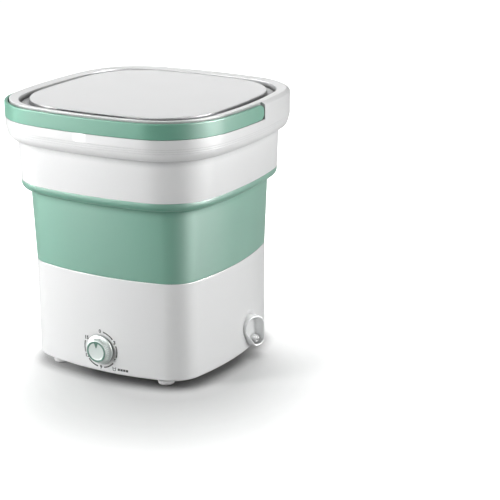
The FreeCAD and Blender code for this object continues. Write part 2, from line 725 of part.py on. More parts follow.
def shaft_seal():
    """Lip seal in the wash floor that keeps water off the gearbox."""
    return turned([
        (8.9, CASE_TOP + 0.6),
        (8.9, FLOOR_TOP + 0.3, 0.5),
        (SHAFT_RADIUS + RUNNING, FLOOR_TOP + 0.6),
        (SHAFT_RADIUS + RUNNING, FLOOR_TOP - 1.0),
        (6.2, FLOOR_TOP - 2.0),
        (6.2, CASE_TOP + 0.6),
    ])


def impeller_shaft():
    """Output shaft, flatted where it drives the impeller and where the gear drives it."""
    top = IMPELLER_HUB_TOP - 4
    shaft = rod(SHAFT_RADIUS, BEARING_BOTTOM - 0.3, top)
    flats = [
        block(Vector(SHAFT_FLAT, -10, IMPELLER_BOTTOM - 0.4), Vector(10, 10, top + 1)),
        block(Vector(SHAFT_FLAT, -10, LOW_GEARS[0] - 1), Vector(10, 10, LOW_GEARS[1])),
    ]
    return shaft.cut(flats + [rod(1.5 + RUNNING, top - 12, top)])


def flatted_bore(clearance, bottom, top):
    """The hole that a flatted shaft fills, a clearance larger all round."""
    flat = block(Vector(SHAFT_FLAT + clearance, -10, bottom - 1), Vector(10, 10, top + 1))
    return rod(SHAFT_RADIUS + clearance, bottom, top).cut(flat)


def output_gear():
    body = fused([gear(LARGE_TEETH, *LOW_GEARS, 0), rod(5.8, LOW_GEARS[0] - 0.8, LOW_GEARS[1])])
    lightening = around(rod(4, *LOW_GEARS, Vector(13.5, 0, 0)), 6, start=30)
    return body.cut([flatted_bore(RUNNING, LOW_GEARS[0] - 1, LOW_GEARS[1])] + lightening)


def idler_gear():
    """Compound gear: its small teeth drive the output gear, its large teeth are driven by the motor."""
    half_tooth = FULL_TURN / 2 / SMALL_TEETH
    small = gear(SMALL_TEETH, LOW_GEARS[0], HIGH_GEARS[0] + 0.5, half_tooth)
    large = gear(LARGE_TEETH, *HIGH_GEARS, 0)
    lightening = around(rod(4, *HIGH_GEARS, Vector(14.5, 0, 0)), 6, start=30)
    bore = rod(IDLER_PIN_RADIUS + RUNNING, LOW_GEARS[0], HIGH_GEARS[1])
    return fused([small, large]).cut([bore] + lightening).translated(IDLER_AT)


def idler_pin():
    return rod(IDLER_PIN_RADIUS, CASE_BOTTOM + 0.6, CASE_TOP - 1.1, IDLER_AT)


def motor_pinion():
    half_tooth = FULL_TURN / 2 / SMALL_TEETH
    bore = rod(MOTOR_SHAFT_RADIUS + 0.01, *HIGH_GEARS)
    return gear(SMALL_TEETH, *HIGH_GEARS, half_tooth).cut(bore).translated(MOTOR_AT)


def motor_rotor():
    """Armature with slots for its windings, a commutator and the shaft."""
    shaft = rod(MOTOR_SHAFT_RADIUS, MOTOR_BOTTOM + 0.4, HIGH_GEARS[1] + 1)
    core = rod(13.0, 22, 36)
    slots = around(block(Vector(8, -0.9, 20), Vector(14, 0.9, 40)), 5)
    commutator = rod(4.0, 17, 21)
    return fused([shaft, core.cut(slots), commutator, rod(6, 20.5, 22.5)]).translated(MOTOR_AT)


def motor_can():
    """Deep-drawn steel can, closed at the top round a small bearing boss."""
    can = turned([
        (MOTOR_RADIUS, MOTOR_BOTTOM),
        (MOTOR_RADIUS, MOTOR_TOP, 1.5),
        (MOTOR_SHAFT_RADIUS + RUNNING, MOTOR_TOP),
        (MOTOR_SHAFT_RADIUS + RUNNING, MOTOR_TOP - 4),
        (4.5, MOTOR_TOP - 4),
        (4.5, MOTOR_TOP - 1.2),
        (MOTOR_RADIUS - 1.0, MOTOR_TOP - 1.2, 0.8),
        (MOTOR_RADIUS - 1.0, MOTOR_BOTTOM),
    ]).translated(MOTOR_AT)
    return can.cut([rod(1.2 + RUNNING, 35, 60, at) for at in motor_screw_places()])


def motor_end_cap():
    cap = turned([
        (MOTOR_SHAFT_RADIUS + RUNNING, MOTOR_BOTTOM),
        (MOTOR_RADIUS - 1.1, MOTOR_BOTTOM),
        (MOTOR_RADIUS - 1.1, MOTOR_BOTTOM + 2.5),
        (MOTOR_SHAFT_RADIUS + RUNNING, MOTOR_BOTTOM + 2.5),
    ])
    return cap.translated(MOTOR_AT)


def motor_magnets():
    """Two curved magnets inside the can."""
    ring = tube(MOTOR_RADIUS - 1.1, 13.7, 20, 37)
    gaps = block(Vector(-20, -3, 0), Vector(20, 3, 60))
    return [piece.translated(MOTOR_AT) for piece in ring.cut(gaps).Solids]


def motor_screw_places():
    return [MOTOR_AT + Vector(7.5 * side, 0, 0) for side in (-1, 1)]


def motor_screws():
    one = screw(1.2, 6.0, 2.3, 1.2)
    return [one.translated(at + UP * (CASE_SPLIT - GAP)) for at in motor_screw_places()]


# ---------------------------------------------------------------- impeller


def blade():
    """One curved blade of the impeller, highest near the hub."""
    curve_radius = 62.0
    thickness = 7.0
    inner_end = 14.0
    outer_end = IMPELLER_RADIUS - 8
    bottom = IMPELLER_BOTTOM + 2
    centre = Vector(0, -curve_radius, 0)
    arc = tube(curve_radius + thickness / 2, curve_radius - thickness / 2, bottom, 110, centre)
    reach = tube(outer_end, inner_end, 0, 200).common(block(Vector(0, -80, 0), Vector(80, 20, 200)))
    slope = turned([(0, bottom), (0, 104), (16, 103), (outer_end + 2, 82), (outer_end + 2, bottom)])
    return arc.common(reach).common(slope)


def impeller():
    """Wash impeller: a shallow dish with a domed hub and curved blades."""
    dish = turned([
        (0, IMPELLER_BOTTOM),
        (IMPELLER_RADIUS - 3, IMPELLER_BOTTOM, 1),
        (IMPELLER_RADIUS, IMPELLER_BOTTOM + 6, 1.2),
        (IMPELLER_RADIUS - 3, IMPELLER_BOTTOM + 6, 1),
        (IMPELLER_RADIUS - 8, IMPELLER_BOTTOM + 3, 8),
        (28, IMPELLER_BOTTOM + 6, 30),
        (17, IMPELLER_HUB_TOP, 6),
        (0, IMPELLER_HUB_TOP),
    ])
    body = fused([dish] + around(blade(), IMPELLER_BLADES))
    under = turned([(8, 60), (16, 60), (13, IMPELLER_HUB_TOP - 8), (8, IMPELLER_HUB_TOP - 8)])
    water_holes = around(rod(2.5, 60, IMPELLER_BOTTOM + 12, Vector(46, 0, 0)), IMPELLER_BLADES, start=18)
    cap_seat = rod(10.0 + GAP, IMPELLER_HUB_TOP - 2, IMPELLER_HUB_TOP + 20)
    bore = flatted_bore(RUNNING, 60, IMPELLER_HUB_TOP - 4 + GAP)
    screw_hole = rod(1.6, 60, IMPELLER_HUB_TOP)
    return body.cut([under, cap_seat, bore, screw_hole] + water_holes)


def impeller_screw():
    return screw(1.5, 10, 3.4, 1.6).translated(Vector(0, 0, IMPELLER_HUB_TOP - 2))


def impeller_cap():
    """Domed cap that hides the impeller's screw."""
    top = IMPELLER_HUB_TOP + 4
    bottom = IMPELLER_HUB_TOP - 2 + GAP
    dome = turned([(0, bottom), (10.0, bottom), (10.0, IMPELLER_HUB_TOP + 1, 2), (5, top, 8), (0, top)])
    return dome.cut(rod(4.2, bottom, IMPELLER_HUB_TOP))


# ---------------------------------------------------------------- drain


def drain_strainer():
    """Slotted disc over the drain hole."""
    disc = rod(STRAINER_RADIUS, FLOOR_TOP - STRAINER_THICKNESS - GAP, FLOOR_TOP - GAP)
    slots = 6
    spacing = 3.0
    slot_half = Vector(9, 0.8, 0)
    inside = rod(STRAINER_RADIUS - 1.8, FLOOR_BOTTOM, FLOOR_TOP)
    cuts = []
    for i in range(slots):
        middle = Vector(0, (i - (slots - 1) / 2) * spacing, 0)
        slot = block(middle - slot_half, middle + slot_half + UP * FLOOR_TOP)
        cuts.append(slot.common(inside))
    return disc.cut(cuts).translated(SUMP)


def hose_path():
    outlet_end = Vector(126, DRAIN_Y, DRAIN_Z)
    return [SUMP + UP * (FLOOR_BOTTOM - 2), SUMP + UP * DRAIN_Z, outlet_end]


def drain_hose():
    """Flexible hose inside the base, from the floor's spigot to the outlet."""
    bend = 18.0
    return cable(hose_path(), HOSE_INSIDE + HOSE_WALL, bend).cut(cable(hose_path(), HOSE_INSIDE, bend))


def hose_clamps():
    """A clip with two ears round each end of the hose."""
    inner = HOSE_INSIDE + HOSE_WALL + RUNNING
    width = 5.0
    clip = fused([rod(inner + 1.0, 0, width), block(Vector(inner, -3, 0), Vector(inner + 4.5, 3, width))])
    clip = clip.cut([rod(inner, 0, width), block(Vector(inner - 1, -0.8, 0), Vector(inner + 6, 0.8, width))])
    return [clip.translated(SUMP + UP * 56), facing_right(clip, Vector(117, DRAIN_Y, DRAIN_Z))]


def sloping_face(depth):
    """The space outside the outlet's sloping rim, or outside a surface a depth behind it."""
    front = BOWL_Y - BOWL_RADIUS
    rear = BOWL_Y + BOWL_RADIUS
    slope = math.degrees(math.atan2(OUTLET_REAR - OUTLET_FRONT, rear - front))
    reach = 60.0
    space = block(Vector(0, -reach, -reach), Vector(reach, 2 * reach, 2 * reach))
    return space.rotated(ORIGIN, UP, -slope).translated(Vector(OUTLET_FRONT - depth, front, 0))


def drain_outlet():
    """Outlet fitting on the right wall: a scoop with a sloping teardrop rim round a short nozzle."""
    body = egg(0, BASE_HALF - 8, OUTLET_REAR + 5).cut([BASE.offset(GAP).plate(0, 100), sloping_face(0)])
    bowl = egg(-OUTLET_RIM, BOWL_FLOOR, OUTLET_REAR + 5)
    centre = Vector(0, DRAIN_Y, DRAIN_Z)
    thread_start = 127.0
    barb_end = 112.0
    nozzle = facing_right(rod(NOZZLE_RADIUS, BOWL_FLOOR - 1, NOZZLE_END), centre)
    thread = facing_right(rod(THREAD_RADIUS, thread_start, BOWL_FLOOR - 1), centre)
    barb = facing_right(rod(SPIGOT_RADIUS, barb_end, thread_start + 1), centre)
    bore = facing_right(rod(NOZZLE_BORE, barb_end, NOZZLE_END), centre)
    return fused([body.cut(bowl), nozzle, thread, barb]).cut(bore)


def outlet_nut():
    """Round nut with grip notches that clamps the outlet from inside the base."""
    thickness = 4.0
    nut = tube(10.6, THREAD_RADIUS + GAP, 0, thickness)
    grips = around(rod(1.5, 0, thickness, Vector(11.4, 0, 0)), 8)
    return facing_right(nut.cut(grips), Vector(126.4, DRAIN_Y, DRAIN_Z))


def drain_plug():
    """Soft plug pressed into the nozzle, with a round head and a pull tab."""
    inner_end = NOZZLE_END - 9
    head_radius = NOZZLE_RADIUS - 0.4
    head_top = NOZZLE_END + 1.6
    plug = turned([
        (0, inner_end),
        (NOZZLE_BORE - RUNNING, inner_end, 0.8),
        (NOZZLE_BORE - RUNNING, NOZZLE_END + RUNNING),
        (head_radius, NOZZLE_END + RUNNING),
        (head_radius, head_top, 0.8),
        (0, head_top),
    ])
    tab = block(Vector(-2.6, -0.9, head_top - 0.5), Vector(2.6, 0.9, head_top + 2.2))
    return facing_right(fused([plug, tab]), Vector(0, DRAIN_Y, DRAIN_Z))


# ---------------------------------------------------------------- controls and power


def knob():
    """Timer knob: a tapered skirt with fine grip ribs and a flat face, driven by a flatted shaft."""
    body = turned([
        (0, KNOB_START),
        (KNOB_BASE_RADIUS, KNOB_START, 0.6),
        (KNOB_BASE_RADIUS - 0.4, KNOB_START + 1.8, 0.6),
        (KNOB_FACE_RADIUS + 1.2, KNOB_START + 3.2, 1.2),
        (KNOB_FACE_RADIUS, KNOB_FACE, 1.2),
        (0, KNOB_FACE),
    ])
    flutes = 30
    flute = rod(0.75, KNOB_START + 3.4, KNOB_FACE + 1, Vector(KNOB_FACE_RADIUS + 0.95, 0, 0))
    trim_groove = tube(*TRIM_RADII, KNOB_FACE - TRIM_DEPTH, KNOB_FACE + 1)
    shaft_end = KNOB_START + SHAFT_IN_KNOB + RUNNING
    shaft_flat = block(Vector(-5, TIMER_SHAFT_FLAT + RUNNING, KNOB_START + 3), Vector(5, 5, shaft_end))
    shaft_room = rod(TIMER_SHAFT_RADIUS + RUNNING, 0, shaft_end)
    underside = tube(KNOB_FACE_RADIUS - 1.5, 6.0, KNOB_START, KNOB_START + 2.0)
    cuts = around(flute, flutes) + [trim_groove, shaft_room.cut(shaft_flat), underside, pointer(0.05, 1)]
    return facing_front(body.cut(cuts), KNOB_CENTRE)


def pointer(grow, above):
    """Triangle on the knob's face that points inwards from its top."""
    top = 13.0
    tip = 5.0
    half = 3.3 + grow
    corners = [Vector(-half, top, 0), Vector(half, top, 0), Vector(0, tip - grow * 2, 0)]
    face = Part.Face(Part.makePolygon(corners + corners[:1]))
    return face.extrude(UP * (TRIM_DEPTH + above)).translated(UP * (KNOB_FACE - TRIM_DEPTH))


def knob_trim():
    """Coloured ring and pointer let into the knob's face."""
    proud = 0.2
    outer, inner = TRIM_RADII
    ring = tube(outer - RUNNING, inner + RUNNING, KNOB_FACE - TRIM_DEPTH + RUNNING, KNOB_FACE + proud)
    return facing_front(fused([ring, pointer(0, proud)]), KNOB_CENTRE)


def timer_shaft():
    end = KNOB_START + SHAFT_IN_KNOB
    shaft = rod(TIMER_SHAFT_RADIUS, -12, end)
    flat = block(Vector(-5, TIMER_SHAFT_FLAT, KNOB_START + 3), Vector(5, 5, end))
    return facing_front(shaft.cut(flat), KNOB_CENTRE)


def timer_body():
    """Clockwork timer behind the front wall, with a neck that guides its shaft."""
    front = -SHELL - 1.2
    depth = 24.0
    radius = 19.0
    body = turned([(0, front - depth), (radius, front - depth, 2), (radius, front, 2), (0, front)])
    neck = rod(4.8, front - 1, -1.0)
    cuts = [rod(TIMER_SHAFT_RADIUS + RUNNING, -12.2, 0)]
    for side in (-1, 1):
        cuts.append(rod(TIMER_SCREW_RADIUS + RUNNING, front - 9, 0, Vector(TIMER_SCREWS_AT * side, 0, 0)))
    return facing_front(fused([body, neck]).cut(cuts), KNOB_CENTRE)


def timer_screws():
    one = screw(TIMER_SCREW_RADIUS, 8, 2.9, 1.2).translated(UP * (GAP - TIMER_SCREW_SINK))
    return [facing_front(one, place) for place in timer_screw_places()]


def power_socket():
    """Round low-voltage socket in the rear wall, with a centre pin."""
    flange_radius = 7.5
    body = fused([rod(flange_radius, GAP, 2), rod(SOCKET_RADIUS, -14, 1)])
    hole = tube(3.2, 1.0, -8, 3)
    return facing_back(body.cut([hole, rod(1.1, 0.5, 3)]), SOCKET_CENTRE)


def socket_nut():
    across_corners = 16.4
    nut = prism(6, across_corners / 2, -5.8, -3.4)
    return facing_back(nut.cut(rod(SOCKET_RADIUS + RUNNING, -6, 0)), SOCKET_CENTRE)


def power_leads():
    """Two wires from the socket to the timer, along the left side of the base."""
    wires = []
    for side in (-1, 1):
        apart = 2.0 * side
        wires.append(cable([
            Vector(apart, BASE_HALF - 14.2, SOCKET_HEIGHT),
            Vector(apart, 106 + apart, SOCKET_HEIGHT),
            Vector(-80 + apart, 106 + apart, 20),
            Vector(-80 + apart, -86 - apart, 20),
            Vector(-4 + apart, -86 - apart, 34),
            Vector(-4 + apart, TIMER_REAR, 34),
        ], LEAD_RADIUS, 6.0))
    return wires


def motor_leads():
    """Two wires from the motor's end cap to the timer."""
    wires = []
    for side in (-1, 1):
        apart = 3.0 * side
        wires.append(cable([
            Vector(MOTOR_AT.x + 8 + apart, MOTOR_AT.y, 11.4),
            Vector(MOTOR_AT.x + 8 + apart, -78 - apart, 11.4),
            Vector(6 + apart, -78 - apart, 30),
            Vector(6 + apart, TIMER_REAR, 30),
        ], LEAD_RADIUS, 5.0))
    return wires


# ---------------------------------------------------------------- write every piece

PIECES = (
    base_shell,
    bottom_cover,
    cover_screws,
    feet,
    foot_pads,
    folding_wall,
    upper_tub,
    collar,
    handle,
    handle_pins,
    lid_panel,
    lid_seal,
    gearbox_case,
    gearbox_cover,
    gearbox_screws,
    shaft_bearings,
    shaft_seal,
    impeller_shaft,
    output_gear,
    idler_gear,
    idler_pin,
    motor_pinion,
    motor_rotor,
    motor_can,
    motor_end_cap,
    motor_magnets,
    motor_screws,
    impeller,
    impeller_screw,
    impeller_cap,
    drain_strainer,
    drain_hose,
    hose_clamps,
    drain_outlet,
    outlet_nut,
    drain_plug,
    knob,
    knob_trim,
    timer_shaft,
    timer_body,
    timer_screws,
    power_socket,
    socket_nut,
    power_leads,
    motor_leads,
)

os.makedirs("parts", exist_ok=True)
for make in PIECES:
    shape = make()
    if isinstance(shape, list):
        shape = Part.makeCompound(shape)
    if not shape.isValid() or not shape.Solids:
        raise ValueError("piece " + make.__name__ + " isn't a valid solid")
    shape.translated(Vector(0, 0, -GROUND)).exportStep("parts/" + make.__name__ + ".step")
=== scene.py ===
"""Looks for the folding countertop washer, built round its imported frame.

Metres, +Z up, the frame of the CAD part: the origin is on the floor under the washer's centre, the knob
faces -Y and the drain outlet faces +X. Places come from the boxes of the frame's nodes, and MM turns small
sizes into metres.
"""
import json
import math

import bmesh
import bpy
from mathutils import Matrix, Vector

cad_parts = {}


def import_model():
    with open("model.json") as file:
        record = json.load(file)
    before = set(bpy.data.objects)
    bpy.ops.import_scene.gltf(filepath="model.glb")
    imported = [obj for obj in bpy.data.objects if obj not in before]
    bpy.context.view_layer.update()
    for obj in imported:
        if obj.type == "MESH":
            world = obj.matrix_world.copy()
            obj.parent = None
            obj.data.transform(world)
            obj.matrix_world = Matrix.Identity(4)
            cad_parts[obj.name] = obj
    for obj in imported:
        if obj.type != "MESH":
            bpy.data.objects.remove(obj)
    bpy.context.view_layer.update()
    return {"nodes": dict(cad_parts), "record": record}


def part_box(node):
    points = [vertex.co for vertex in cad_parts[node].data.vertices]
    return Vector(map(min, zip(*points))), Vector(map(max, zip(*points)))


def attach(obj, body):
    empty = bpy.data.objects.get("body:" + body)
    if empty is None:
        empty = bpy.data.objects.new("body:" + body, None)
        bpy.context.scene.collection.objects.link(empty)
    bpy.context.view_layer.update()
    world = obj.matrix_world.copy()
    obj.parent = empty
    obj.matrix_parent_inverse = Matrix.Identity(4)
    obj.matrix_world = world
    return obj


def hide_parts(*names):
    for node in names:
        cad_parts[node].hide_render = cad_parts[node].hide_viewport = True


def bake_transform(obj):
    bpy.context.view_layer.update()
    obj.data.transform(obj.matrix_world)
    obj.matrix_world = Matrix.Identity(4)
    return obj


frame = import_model()

MM = 0.001


def low(node):
    """A node's lowest corner."""
    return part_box(node)[0]


def high(node):
    """A node's highest corner."""
    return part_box(node)[1]


# ---------------------------------------------------------------- sizes read from the frame

WALL = 2.8  # how thick the rigid walls are, in millimetres, as the sections below are

BASE_HALF = high("base_shell").x
BASE_BOTTOM = low("base_shell").z
BASE_TOP = high("base_shell").z
BASE_DRAFT = 0.4 * MM
FLOOR_TOP = high("drain_strainer").z + 0.1 * MM

RIM_HALF = high("collar").x
RIM = 15.5 * MM  # how far the rim stands out from the tub's outline
TUB_HALF = RIM_HALF - RIM
TUB_BOTTOM = low("upper_tub").z
TUB_TOP = high("upper_tub").z
TUB_FLARE = high("upper_tub").x - TUB_HALF
TUB_DRAFT = 2.1 * MM
WALL_BOTTOM = low("folding_wall").z
WALL_TOP = high("folding_wall").z
LIP_BOTTOM = WALL_TOP - 12.3 * MM

COLLAR_BOTTOM = low("collar").z
COLLAR_TOP = high("collar").z
HANDLE_LOW = low("handle")
HANDLE_HIGH = high("handle")
HANDLE_MIDDLE = (HANDLE_LOW.z + HANDLE_HIGH.z) / 2
HANDLE_THICKNESS = 4.5 * MM
HANDLE_END_GAP = 2.7 * MM  # from the handle's ends to the ends of its recess
HANDLE_BACK_GAP = 2.1 * MM  # from the handle's inner face to the recess's face
SEAT_TOP = low("lid_seal").z - 0.1 * MM
LID_LOW = low("lid_panel")
LID_HIGH = high("lid_panel")
LID_FRAME_TOP = LID_HIGH.z - 6.8 * MM
LID_EDGE = LID_HIGH.x - TUB_HALF

KNOB_LOW = low("knob")
KNOB_HIGH = high("knob")
KNOB_HEIGHT = (KNOB_LOW.z + KNOB_HIGH.z) / 2
KNOB_RADIUS = (KNOB_HIGH.z - KNOB_LOW.z) / 2
KNOB_BACK = KNOB_HIGH.y
KNOB_FACE = KNOB_LOW.y

OUTLET_LOW = low("drain_outlet")
OUTLET_HIGH = high("drain_outlet")
OUTLET_REAR = OUTLET_HIGH.x  # how far its sloping rim reaches at the rear edge
OUTLET_FRONT = OUTLET_REAR - 12 * MM  # and at its front edge
BOWL_FLOOR = BASE_HALF + 1 * MM
PLUG_MIDDLE = (low("drain_plug") + high("drain_plug")) / 2

# ---------------------------------------------------------------- outlines and sections


class Outline:
    """A square with bowed sides and round corners, seen from above, all its arcs tangent.

    Half is how far a side's middle is from the centre. Corner and side are the radii of the arcs.
    """

    def __init__(self, half, corner, side):
        centre = side - half
        reach = side - corner
        middle = (math.sqrt(2 * reach**2 - centre**2) - centre) / 2
        meet = math.atan2(middle, middle + centre)
        self.side = side
        self.meet = meet
        self.arcs = (
            (Vector((-centre, 0)), side, -meet, 2 * meet),
            (Vector((middle, middle)), corner, meet, math.pi / 2 - 2 * meet),
        )

    def at(self, place, outward):
        """The point a distance outside. Places count the arcs anticlockwise from the right side's."""
        quarter, share = divmod(place, 2)
        centre, radius, start, sweep = self.arcs[int(share)]
        angle = start + sweep * (share % 1)
        point = centre + Vector((math.cos(angle), math.sin(angle))) * (radius + outward)
        for _ in range(int(quarter) % 4):
            point = Vector((-point.y, point.x))
        return point

    def right_place(self, y, outward):
        """The place on the right side that is y to the back of its middle."""
        return (math.asin(y / (self.side + outward)) + self.meet) / (2 * self.meet)


class Between:
    """Runs along one outline up to an outward distance, then crosses to a second, wider outline."""

    def __init__(self, inner, outer, gap, start, end):
        self.inner = inner
        self.outer = outer
        self.gap = gap
        self.start = start
        self.end = end

    def at(self, place, outward):
        share = min(1.0, max(0.0, (outward - self.start) / (self.end - self.start)))
        near = self.inner.at(place, outward)
        far = self.outer.at(place, outward - self.gap)
        return near.lerp(far, share)


BASE = Outline(BASE_HALF, corner=BASE_HALF / 3, side=BASE_HALF * 2.9)
TUB = Outline(TUB_HALF, corner=TUB_HALF * 0.51, side=TUB_HALF * 3.9)
PANEL_HALF = LID_HIGH.x - 7.5 * MM
PANEL = Outline(PANEL_HALF, corner=PANEL_HALF * 0.62, side=PANEL_HALF * 6)

# Places on an outline, counted in arcs from the right side's start: each side and each corner is one arc.
LEFT_SIDE = 4.0
FRONT_START = 6
FRONT_END = 7
FRONT_MIDDLE = (FRONT_START + FRONT_END) / 2
ALL_ROUND = 8.0


def even_places():
    """Places all round an outline, closer together on its corners."""
    side_steps = 14
    corner_steps = 18
    places = []
    for arc in range(int(ALL_ROUND)):
        steps = corner_steps if arc % 2 else side_steps
        places += [arc + i / steps for i in range(steps)]
    return places


def rounded(corners, closed=True, steps=6):
    """Points along (outward, height[, trim]) corners. A trim cuts its corner back and rounds it."""
    points = []
    count = len(corners)
    for i, corner in enumerate(corners):
        here = Vector(corner[:2])
        trim = corner[2] if len(corner) > 2 else 0
        if trim == 0 or (not closed and i in (0, count - 1)):
            points.append(here)
            continue
        back = (Vector(corners[i - 1][:2]) - here).normalized()
        ahead = (Vector(corners[(i + 1) % count][:2]) - here).normalized()
        weight = math.sin(back.angle(ahead) / 2)
        start = here + back * trim
        end = here + ahead * trim
        for k in range(steps + 1):
            s = k / steps
            shares = ((1 - s) ** 2, 2 * weight * s * (1 - s), s * s)
            points.append((start * shares[0] + here * shares[1] + end * shares[2]) / sum(shares))
    return points


def in_mm(corners):
    """The same corners, given in millimetres from the outline, with heights already in metres."""
    return [(corner[0] * MM, corner[1]) + tuple(trim * MM for trim in corner[2:]) for corner in corners]


def split_long(points, longest, top=math.inf):
    """A closed section with extra points on its long stretches, up to a height."""
    result = []
    for point, following in zip(points, points[1:] + points[:1]):
        parts = 1
        if max(point.y, following.y) < top:
            parts = max(1, math.ceil((following - point).length / longest))
        result += [point.lerp(following, k / parts) for k in range(parts)]
    return result


def split_open(points, longest):
    """An open section with extra points on its long stretches."""
    result = []
    for point, following in zip(points, points[1:]):
        parts = max(1, math.ceil((following - point).length / longest))
        result += [point.lerp(following, k / parts) for k in range(parts)]
    return result + [points[-1]]


# ---------------------------------------------------------------- making pieces


class Skin:
    """A surface made of closed rings of points, each ring joined to the next by quads."""

    def __init__(self):
        self.mesh = bmesh.new()
        self.rings = []

    def ring(self, points):
        """Adds a ring and joins it to the one before."""
        verts = [self.mesh.verts.new(point) for point in points]
        if self.rings:
            self.join(self.rings[-1], verts)
        self.rings.append(verts)

    def join(self, one, other):
        for i in range(len(one)):
            following = (i + 1) % len(one)
            self.mesh.faces.new((one[i], one[following], other[following], other[i]))

    def close(self):
        """Joins the last ring to the first, which makes the skin a closed tube."""
        self.join(self.rings[-1], self.rings[0])

    def tip(self, point, ring):
        """Closes a ring with triangles that meet at a point."""
        verts = self.rings[ring]
        centre = self.mesh.verts.new(point)
        for i, vert in enumerate(verts):
            self.mesh.faces.new((vert, verts[(i + 1) % len(verts)], centre))


SHARP = 35  # edges at a larger angle than this, in degrees, aren't smoothed


def piece(name, mesh, material, body, stands_for=(), sharp=SHARP):
    """Turns a bmesh into a smooth-shaded piece that may ride on a body and stand for CAD nodes."""
    bmesh.ops.remove_doubles(mesh, verts=mesh.verts, dist=1e-7)
    bmesh.ops.recalc_face_normals(mesh, faces=mesh.faces)
    data = bpy.data.meshes.new(name)
    mesh.to_mesh(data)
    mesh.free()
    data.materials.append(material)
    data.shade_smooth()
    data.set_sharp_from_angle(angle=math.radians(sharp))
    made = bpy.data.objects.new(name, data)
    bpy.context.scene.collection.objects.link(made)
    if body:
        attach(made, body)
    if stands_for:
        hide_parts(*stands_for)
    return made


def even_normals(made):
    """Lets flat faces keep flat shading next to small roundings."""
    weighted = made.modifiers.new("even_normals", "WEIGHTED_NORMAL")
    weighted.keep_sharp = True


def carve(made, cutters):
    """Cuts holes with closed shapes and keeps the result as the piece's own mesh."""
    for cutter in cutters:
        cut = made.modifiers.new("hole", "BOOLEAN")
        cut.operation = "DIFFERENCE"
        cut.solver = "EXACT"
        cut.object = cutter
    depsgraph = bpy.context.evaluated_depsgraph_get()
    carved = bpy.data.meshes.new_from_object(made.evaluated_get(depsgraph))
    made.modifiers.clear()
    made.data = carved
    for cutter in cutters:
        bpy.data.objects.remove(cutter)


def cylinder_cutter(start, end, radius):
    """A round closed shape between two points, for cutting a hole."""
    mesh = bmesh.new()
    along = end - start
    turn = along.to_track_quat("Z", "Y").to_matrix().to_4x4()
    place = Matrix.Translation((start + end) / 2) @ turn
    bmesh.ops.create_cone(
        mesh, cap_ends=True, segments=48, radius1=radius, radius2=radius, depth=along.length, matrix=place
    )
    data = bpy.data.meshes.new("cutter")
    mesh.to_mesh(data)
    mesh.free()
    made = bpy.data.objects.new("cutter", data)
    bpy.context.scene.collection.objects.link(made)
    return made


def swept(section_at, outline, places):
    """A closed tube of a skin: the section at each place, carried round the outline."""
    sections = [section_at(place) for place in places]
    skin = Skin()
    for i in range(len(sections[0])):
        ring = []
        for place, section in zip(places, sections):
            outward, height = section[i]
            flat = outline.at(place, outward)
            ring.append(Vector((flat.x, flat.y, height)))
        skin.ring(ring)
    skin.close()
    return skin.mesh


# ---------------------------------------------------------------- materials


class Nodes:
    """Short calls for building a material's nodes."""

    def __init__(self, name):
        self.material = bpy.data.materials.new(name)
        self.material.use_nodes = True
        self.tree = self.material.node_tree
        self.shader = self.tree.nodes["Principled BSDF"]
        self.place = self.add("ShaderNodeTexCoord").outputs["Object"]

    def add(self, kind, **settings):
        node = self.tree.nodes.new(kind)
        for key, value in settings.items():
            setattr(node, key, value)
        return node

    def join(self, source, target):
        self.tree.links.new(source, target)

    def noise(self, scale, detail=3.0, stretch=None):
        """Soft random variation from 0 to 1, with a pattern scale per metre."""
        node = self.add("ShaderNodeTexNoise")
        node.inputs["Scale"].default_value = scale
        node.inputs["Detail"].default_value = detail
        source = self.place
        if stretch:
            mapping = self.add("ShaderNodeMapping")
            mapping.inputs["Scale"].default_value = stretch
            self.join(source, mapping.inputs["Vector"])
            source = mapping.outputs["Vector"]
        self.join(source, node.inputs["Vector"])
        return node.outputs["Fac"]

    def ramp(self, source, low_value, high_value, start=0.3, end=0.7):
        """Maps a source's start..end to low..high."""
        node = self.add("ShaderNodeMapRange")
        node.inputs["From Min"].default_value = start
        node.inputs["From Max"].default_value = end
        node.inputs["To Min"].default_value = low_value
        node.inputs["To Max"].default_value = high_value
        self.join(source, node.inputs["Value"])
        return node.outputs["Result"]

    def mix(self, share, one, other):
        """Blends two colours, from the first at share 0 to the second at share 1."""
        node = self.add("ShaderNodeMix", data_type="RGBA")
        first, second = (socket for socket in node.inputs if socket.type == "RGBA")
        self.feed(share, node.inputs["Factor"])
        self.feed(one, first)
        self.feed(other, second)
        return next(socket for socket in node.outputs if socket.type == "RGBA")

    def feed(self, value, target):
        """Sets an input to a number, a colour or another node's output."""
        if isinstance(value, bpy.types.NodeSocket):
            self.join(value, target)
        elif isinstance(value, tuple):
            target.default_value = value + (1.0,) if target.type == "RGBA" else value
        else:
            target.default_value = value

    def bump(self, source, depth, over=None):
        """Surface relief a depth in metres high, over an earlier relief if there is one."""
        node = self.add("ShaderNodeBump")
        node.inputs["Strength"].default_value = 1.0
        node.inputs["Distance"].default_value = depth
        self.join(source, node.inputs["Height"])
        if over:
            self.join(over, node.inputs["Normal"])
        return node.outputs["Normal"]

    def crevice(self, distance):
        """1 on open surfaces, falling towards 0 deep in gaps and corners."""
        node = self.add("ShaderNodeAmbientOcclusion", samples=4)
        node.inputs["Distance"].default_value = distance
        return node.outputs["AO"]

    def set(self, name, value):
        """Sets one of the shader's own inputs."""
        self.feed(value, self.shader.inputs[name])


def shade(colour, factor):
    """The colour made darker or lighter by a factor."""
    return tuple(min(1.0, channel * factor) for channel in colour)


